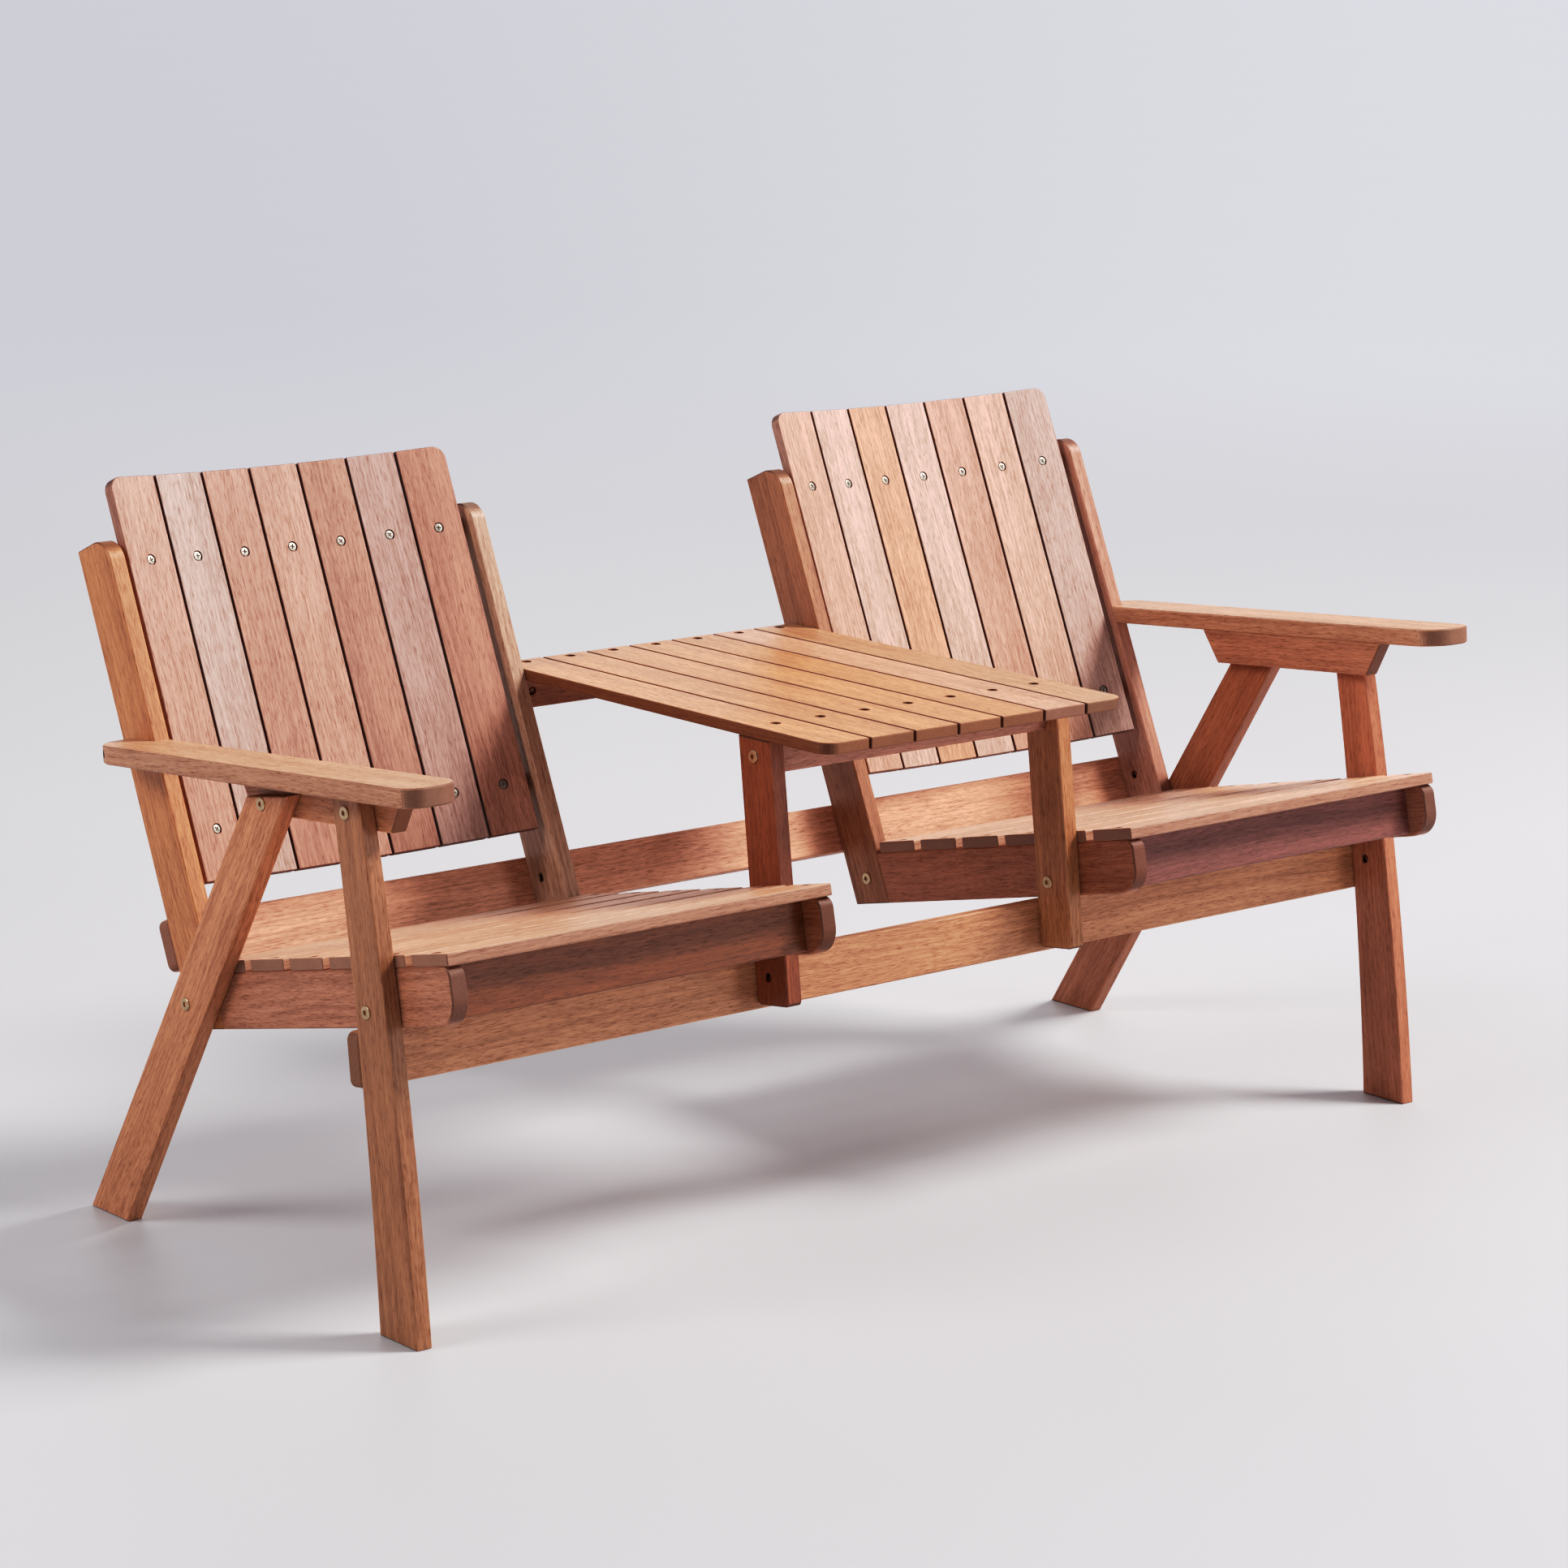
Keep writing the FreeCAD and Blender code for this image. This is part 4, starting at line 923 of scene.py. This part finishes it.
def build_slat_tree():
    group, tree = new_geometry_tree("slat_row", [
        ("Slats", "Int"), ("Width", "Float"), ("Length", "Float"), ("Thickness", "Float"),
        ("Pitch", "Float"), ("Turn", "Float"), ("Hollow", "Float"), ("Near Corner", "Float"),
        ("Far Corner", "Float"), ("Finish", "Material")])
    given = tree.add("NodeGroupInput")
    slats, pitch, turn, hollow = (given.other(label)
                                  for label in ("Slats", "Pitch", "Turn", "Hollow"))
    outline = tree.add("GeometryNodeCurvePrimitiveQuadrilateral", {"mode": "RECTANGLE"},
                       {"Width": given.other("Width"), "Height": given.other("Length")})
    half_row = (slats - 1) * pitch * 0.5
    spots = tree.add("GeometryNodeMeshLine", {"mode": "OFFSET"}, {
        "Count": slats, "Start Location": tree.add("ShaderNodeCombineXYZ", {},
                                                   {"X": half_row * -1.0}),
        "Offset": tree.add("ShaderNodeCombineXYZ", {}, {"X": pitch})})
    row = tree.add("GeometryNodeInstanceOnPoints", {}, {"Points": spots, "Instance": outline})
    row = tree.add("GeometryNodeRealizeInstances", {}, {"Geometry": row})

    spot = tree.add("ShaderNodeSeparateXYZ", {}, {0: tree.add("GeometryNodeInputPosition")})
    x, y, z = (spot.other(axis) for axis in "XYZ")
    outermost = tree.maths("GREATER_THAN", tree.maths("ABSOLUTE", x), half_row)
    far = tree.maths("GREATER_THAN", y, 0.0)
    corner = outermost * (far * given.other("Far Corner")
                          + (1 - far) * given.other("Near Corner"))
    rounded = tree.add("GeometryNodeFilletCurve", {"mode": "POLY"}, {
        "Curve": row, "Count": 8, "Radius": corner, "Limit Radius": True})
    flat = tree.add("GeometryNodeFillCurve", {"mode": "NGONS"}, {"Curve": rounded})
    flat = tree.add("GeometryNodeMergeByDistance", {}, {"Geometry": flat, "Distance": JOINED})
    thick = tree.add("GeometryNodeExtrudeMesh", {"mode": "FACES"}, {
        "Mesh": flat, "Offset": (0, 0, 1), "Offset Scale": given.other("Thickness"),
        "Individual": False})
    under = tree.add("GeometryNodeFlipFaces", {}, {"Mesh": flat})
    joined = tree.nodes_tree.nodes.new("GeometryNodeJoinGeometry")
    for part in (under, thick):
        tree.nodes_tree.links.new(part.socket, joined.inputs[0])
    closed = tree.add("GeometryNodeMergeByDistance", {}, {
        "Geometry": Wire(tree, joined.outputs[0]), "Distance": JOINED})

    # Each slat knows its order from the middle, and is turned about the hollow's own centre.
    order = tree.maths("FLOOR", x / pitch + slats * 0.5) - (slats - 1) * 0.5
    aside = x - order * pitch
    angle = order * turn
    sine, cosine = tree.maths("SINE", angle), tree.maths("COSINE", angle)
    straight = tree.maths("LESS_THAN", turn, ALMOST_STRAIGHT)
    bent = tree.add("ShaderNodeCombineXYZ", {}, {
        "X": aside * cosine - z * sine + hollow * sine + straight * order * pitch, "Y": y,
        "Z": aside * sine + z * cosine + hollow * (1 - cosine)})
    set_out = tree.add("GeometryNodeSetPosition", {}, {"Geometry": closed, "Position": bent})
    real = tree.add("GeometryNodeRealizeInstances", {}, {"Geometry": set_out})
    painted = tree.add("GeometryNodeSetMaterial", {}, {
        "Geometry": real, "Material": given.other("Finish")})
    tree.add("NodeGroupOutput", {}, {"Geometry": painted})
    return group


slat_tree = build_slat_tree()
print("slat tree:", len(slat_tree.nodes), "nodes")

# %% [markdown]
# ## Setting out the five rows
# The sizes and the place of a row are read from its solids: the pitch from the first and the last
# slat, and, for a back, the turn from one slat to the next and the radius of the hollow.

# %% Make the seats, the backs and the table
SLAT_ARRIS = 0.0017
FLAT_ROW = 1e-3
# How dark the painted shade on the long sides is: at the outside of a row, and between its slats.
SIDE_SHADE_LEVELS = {"back": (0.4, 0.9), "seat": (0.6, 0.3), "table": (0.8, 0.95)}


def slat_row(name, nodes, side_by_side, facing, near_corner=0.0, far_corner=0.0):
    """Slats that stand side by side along X (0) or Y (1), with their upper side facing so."""
    slats = sorted((measure(solid) for node in nodes for solid in solids_of(node)),
                   key=lambda slat: slat[0].translation[side_by_side])
    (first, size), (last, _) = slats[0], slats[-1]
    row = (last.translation - first.translation).normalized()
    along = slats[len(slats) // 2][0].col[0].xyz
    if row.cross(along).dot(facing) < 0:
        along = -along
    through = row.cross(along).normalized()
    count = len(slats)
    length, width, thickness = size
    outward = [slat[0].col[2].xyz for slat in slats]
    outward = [normal if normal.dot(facing) > 0 else -normal for normal in outward]
    turn = math.acos(min(1.0, outward[0].dot(outward[-1]))) / (count - 1)
    backs = [slat[0].translation - normal * thickness / 2
             for slat, normal in zip(slats, outward)]
    span = (backs[-1] - backs[0]).length
    if turn < FLAT_ROW:
        turn, hollow, middle = 0.0, 0.0, (backs[0] + backs[-1]) / 2
    else:
        hollow = span / 2 / math.sin(turn * (count - 1) / 2)
        middle = backs[count // 2]
    place = Matrix((row, along, through)).transposed().to_4x4()
    place.translation = middle
    thing = link(name + "_row", bpy.data.meshes.new(name + "_row"))
    thing.matrix_world = place
    modifier = thing.modifiers.new("slat_row", "NODES")
    modifier.node_group = slat_tree
    give(modifier, {
        "Slats": count, "Width": float(width), "Length": float(length),
        "Thickness": float(thickness), "Pitch": span / (count - 1), "Turn": turn,
        "Hollow": hollow, "Near Corner": near_corner, "Far Corner": far_corner,
        "Finish": oiled_wood})
    print(f"{name}: {count} slats, pitch {span / (count - 1) * 1000:.1f} mm, "
          f"hollow {hollow * 1000:.0f} mm, turn {math.degrees(turn):.2f} degrees")
    finish_boards(thing, name, BOARD_TONES[name.removesuffix("_slats")], nodes,
                  SLAT_ARRIS, sink=True, side_shade_levels=SIDE_SHADE_LEVELS[name.split("_")[-2]])


# The backs lean and the seats tilt by about these angles, which tells their upper sides.
LEAN, TILT = math.radians(23.86), math.radians(12.5)
UP = Vector((0, 0, 1))
for side in ("left", "right"):
    slat_row(side + "_back_slats", [f"{side}_back_slat_{k}" for k in range(1, 8)], 0,
             Vector((0, -math.cos(LEAN), math.sin(LEAN))), far_corner=0.015)
    slat_row(side + "_seat_slats", [side + "_seat_slats"], 1,
             Vector((0, math.sin(TILT), math.cos(TILT))))
slat_row("table_slats", [f"table_slat_{k}" for k in range(1, 8)], 0, UP,
         near_corner=0.020, far_corner=0.010)

# %% [markdown]
# ## Frame boards
# Posts, rails, legs, arms, cleats and battens are all different, and their notches and laps are
# what makes the bench strong. They are finished from a welded copy of their own solid: the loose
# triangles are dissolved into whole faces, and the narrow facet along each arris is rounded.

# %% Finish the frame boards
BOARD_ARRIS = 0.0007
# The long sides of an arm get a little painted shade.
ARM_SIDE_SHADE = (0.25, 0.0)
ONE_FACE = math.radians(1.0)


def frame_board(node, sink=False):
    bm = solids_of(node)[0]
    bmesh.ops.dissolve_limit(bm, angle_limit=ONE_FACE, verts=bm.verts, edges=bm.edges)
    bmesh.ops.recalc_face_normals(bm, faces=bm.faces)
    mesh = bpy.data.meshes.new(node + "_board")
    bm.to_mesh(mesh)
    bm.free()
    finish_boards(link(node + "_copy", mesh), node + "_board", BOARD_TONES[node], [node],
                  BOARD_ARRIS, segments=2, sink=sink,
                  side_shade_levels=ARM_SIDE_SHADE if node.endswith("arm") else None)


SUNK_BOARDS = ("table_post", "front_leg", "outer_post", "inner_post", "cleat", "cross_rail")
for node in sorted(set(BOARD_TONES) & set(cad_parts)):
    if not node.endswith("slats"):
        frame_board(node, sink=node.endswith(SUNK_BOARDS))
discard(cutters)

# %% [markdown]
# ## Floor and light
# The studio is plain: a pale floor that runs out of sight, where it glows softly. The shadows in
# the photo tell where its lights stood. A large softbox in front and high on the right throws the
# table's slanting shadow on the left back. A weaker window low in front fills the legs, one on the
# left lights the sides that face left, and a broad dim one behind on the right draws the tops.
# Little lamp light reaches the far end of the floor, so it carries its own, and the surround takes
# the same colour at the horizon. Last comes the view's contrast curve.

# %% Lay the floor and hang the lights
LIGHT_DISTANCE, LIT_HEIGHT = 8.0, 0.4
FLOOR_SIZE = 120
PHOTO_RIGHT = (0.76, -0.65)


def far_glow(tree, east, north):
    """The far end of the studio, by direction: brighter towards the right of the photo."""
    rightward = east * PHOTO_RIGHT[0] + north * PHOTO_RIGHT[1]
    return tree.mix(rightward.between(-0.2, 0.2), (0.49, 0.49, 0.56, 1), (0.62, 0.62, 0.68, 1))


def make_floor():
    finish, tree = new_finish("pale_floor")
    place = tree.add("ShaderNodeTexCoord", {}, output="Object")
    cloud = tree.add("ShaderNodeTexNoise", {}, {"Vector": place, "Scale": 1.3, "Detail": 2.0})
    away = tree.add("ShaderNodeVectorMath", {"operation": "LENGTH"}, {0: place}, output="Value")
    far = away.between(2.2, 8.0)
    spot = tree.add("ShaderNodeSeparateXYZ", {}, {0: place})
    glow = far_glow(tree, spot.other("X") / (away + 1.0), spot.other("Y") / (away + 1.0))
    near = tree.mix(cloud, (0.55, 0.54, 0.555, 1), (0.585, 0.575, 0.59, 1))
    close_finish(tree, {"Base Color": tree.mix(far, near, (0.03, 0.03, 0.03, 1)),
                        "Emission Color": tree.mix(far, (0, 0, 0, 1), glow),
                        "Emission Strength": 1.0, "Specular IOR Level": 0.25,
                        "Roughness": 0.5 + (cloud - 0.5) * 0.05})
    bpy.ops.mesh.primitive_plane_add(size=FLOOR_SIZE)
    floor = bpy.context.object
    floor.name = "floor"
    # A fifth of a millimetre under the feet, so that the two never flicker through each other.
    floor.location.z = -0.0002
    floor.data.materials.append(finish)
    floor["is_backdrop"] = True


def soft_light(name, azimuth, elevation, width, strength, colour):
    """A broad round panel, eight metres off at that bearing. 0 is straight in front."""
    light = bpy.data.lights.new(name, "AREA")
    light.shape, light.size = "DISK", 2 * LIGHT_DISTANCE * math.tan(math.radians(width / 2))
    # The strength is what a square metre of the bench would receive, in watts.
    light.energy, light.color = strength * math.pi * LIGHT_DISTANCE ** 2, colour
    lamp = bpy.data.objects.new(name, light)
    bearing, height = math.radians(azimuth), math.radians(elevation)
    away = Vector((math.sin(bearing) * math.cos(height), -math.cos(bearing) * math.cos(height),
                   math.sin(height)))
    lamp.location = away * LIGHT_DISTANCE + Vector((0, 0, LIT_HEIGHT))
    lamp.rotation_euler = away.to_track_quat("Z", "Y").to_euler()
    bpy.context.scene.collection.objects.link(lamp)


def make_surround():
    world = bpy.data.worlds.new("pale_surround")
    world.use_nodes = True
    world.node_tree.nodes.clear()
    tree = Tree(world.node_tree)
    look = tree.add("ShaderNodeTexCoord", {}, output="Generated")
    look = tree.add("ShaderNodeSeparateXYZ", {}, {0: look})
    behind = look.other("Y").between(-0.1, 0.7)
    bright = look.other("X").between(0.45, 0.85)
    rear = tree.mix(bright, (0.32, 0.33, 0.37, 1), (0.50, 0.50, 0.54, 1))
    colour = tree.mix(behind, (0.19, 0.20, 0.22, 1), rear)
    # Just over the horizon the surround has the far floor's glow, and a little more for what that
    # floor reflects, so that no edge shows.
    glow = far_glow(tree, look.other("X"), look.other("Y"))
    glow = tree.mix(1.0, glow, (1.08, 1.08, 1.08, 1), "MULTIPLY")
    colour = tree.mix(look.other("Z").between(0.07, 0.13), glow, colour)
    light = tree.add("ShaderNodeBackground", {}, {"Color": colour, "Strength": 1.0})
    tree.add("ShaderNodeOutputWorld", {}, {"Surface": light})
    bpy.context.scene.world = world


def set_view():
    """Plain colours with a photographer's gentle contrast: (light in, light out) of the curve."""
    view = bpy.context.scene.view_settings
    view.view_transform = "Standard"
    view.use_curve_mapping = True
    curve = view.curve_mapping.curves[3]
    for stop in ((0.02, 0.010), (0.05, 0.030), (0.10, 0.073), (0.20, 0.19), (0.35, 0.40),
                 (0.50, 0.57), (0.76, 0.77)):
        curve.points.new(*stop)
    view.curve_mapping.update()


# Bearing, height and width in degrees, then strength and colour.
LIGHTS = {"softbox": (58, 45, 20, 3.8, (1.0, 0.98, 0.96)),
          "window": (28, 14, 16, 0.45, (1.0, 0.98, 0.96)),
          "side_window": (-102, 32, 24, 1.3, (1.0, 0.99, 0.98)),
          "back_window": (150, 24, 40, 0.4, (1.0, 0.98, 0.98))}
make_floor()
make_surround()
for name, values in LIGHTS.items():
    soft_light(name, *values)
set_view()
print("floor, four soft lights and a pale surround")

# %% [markdown]
# ## Check the size
# The dressed bench must fill the same box as the solids.

# %% Compare the two boxes
visual_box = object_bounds()
boxes = [[list(corner) for corner in box] for box in (cad_box, visual_box)]
print("largest departure:", round(1000 * max(
    abs(a - b) for cad, seen in zip(*boxes) for a, b in zip(cad, seen)), 2), "mm")
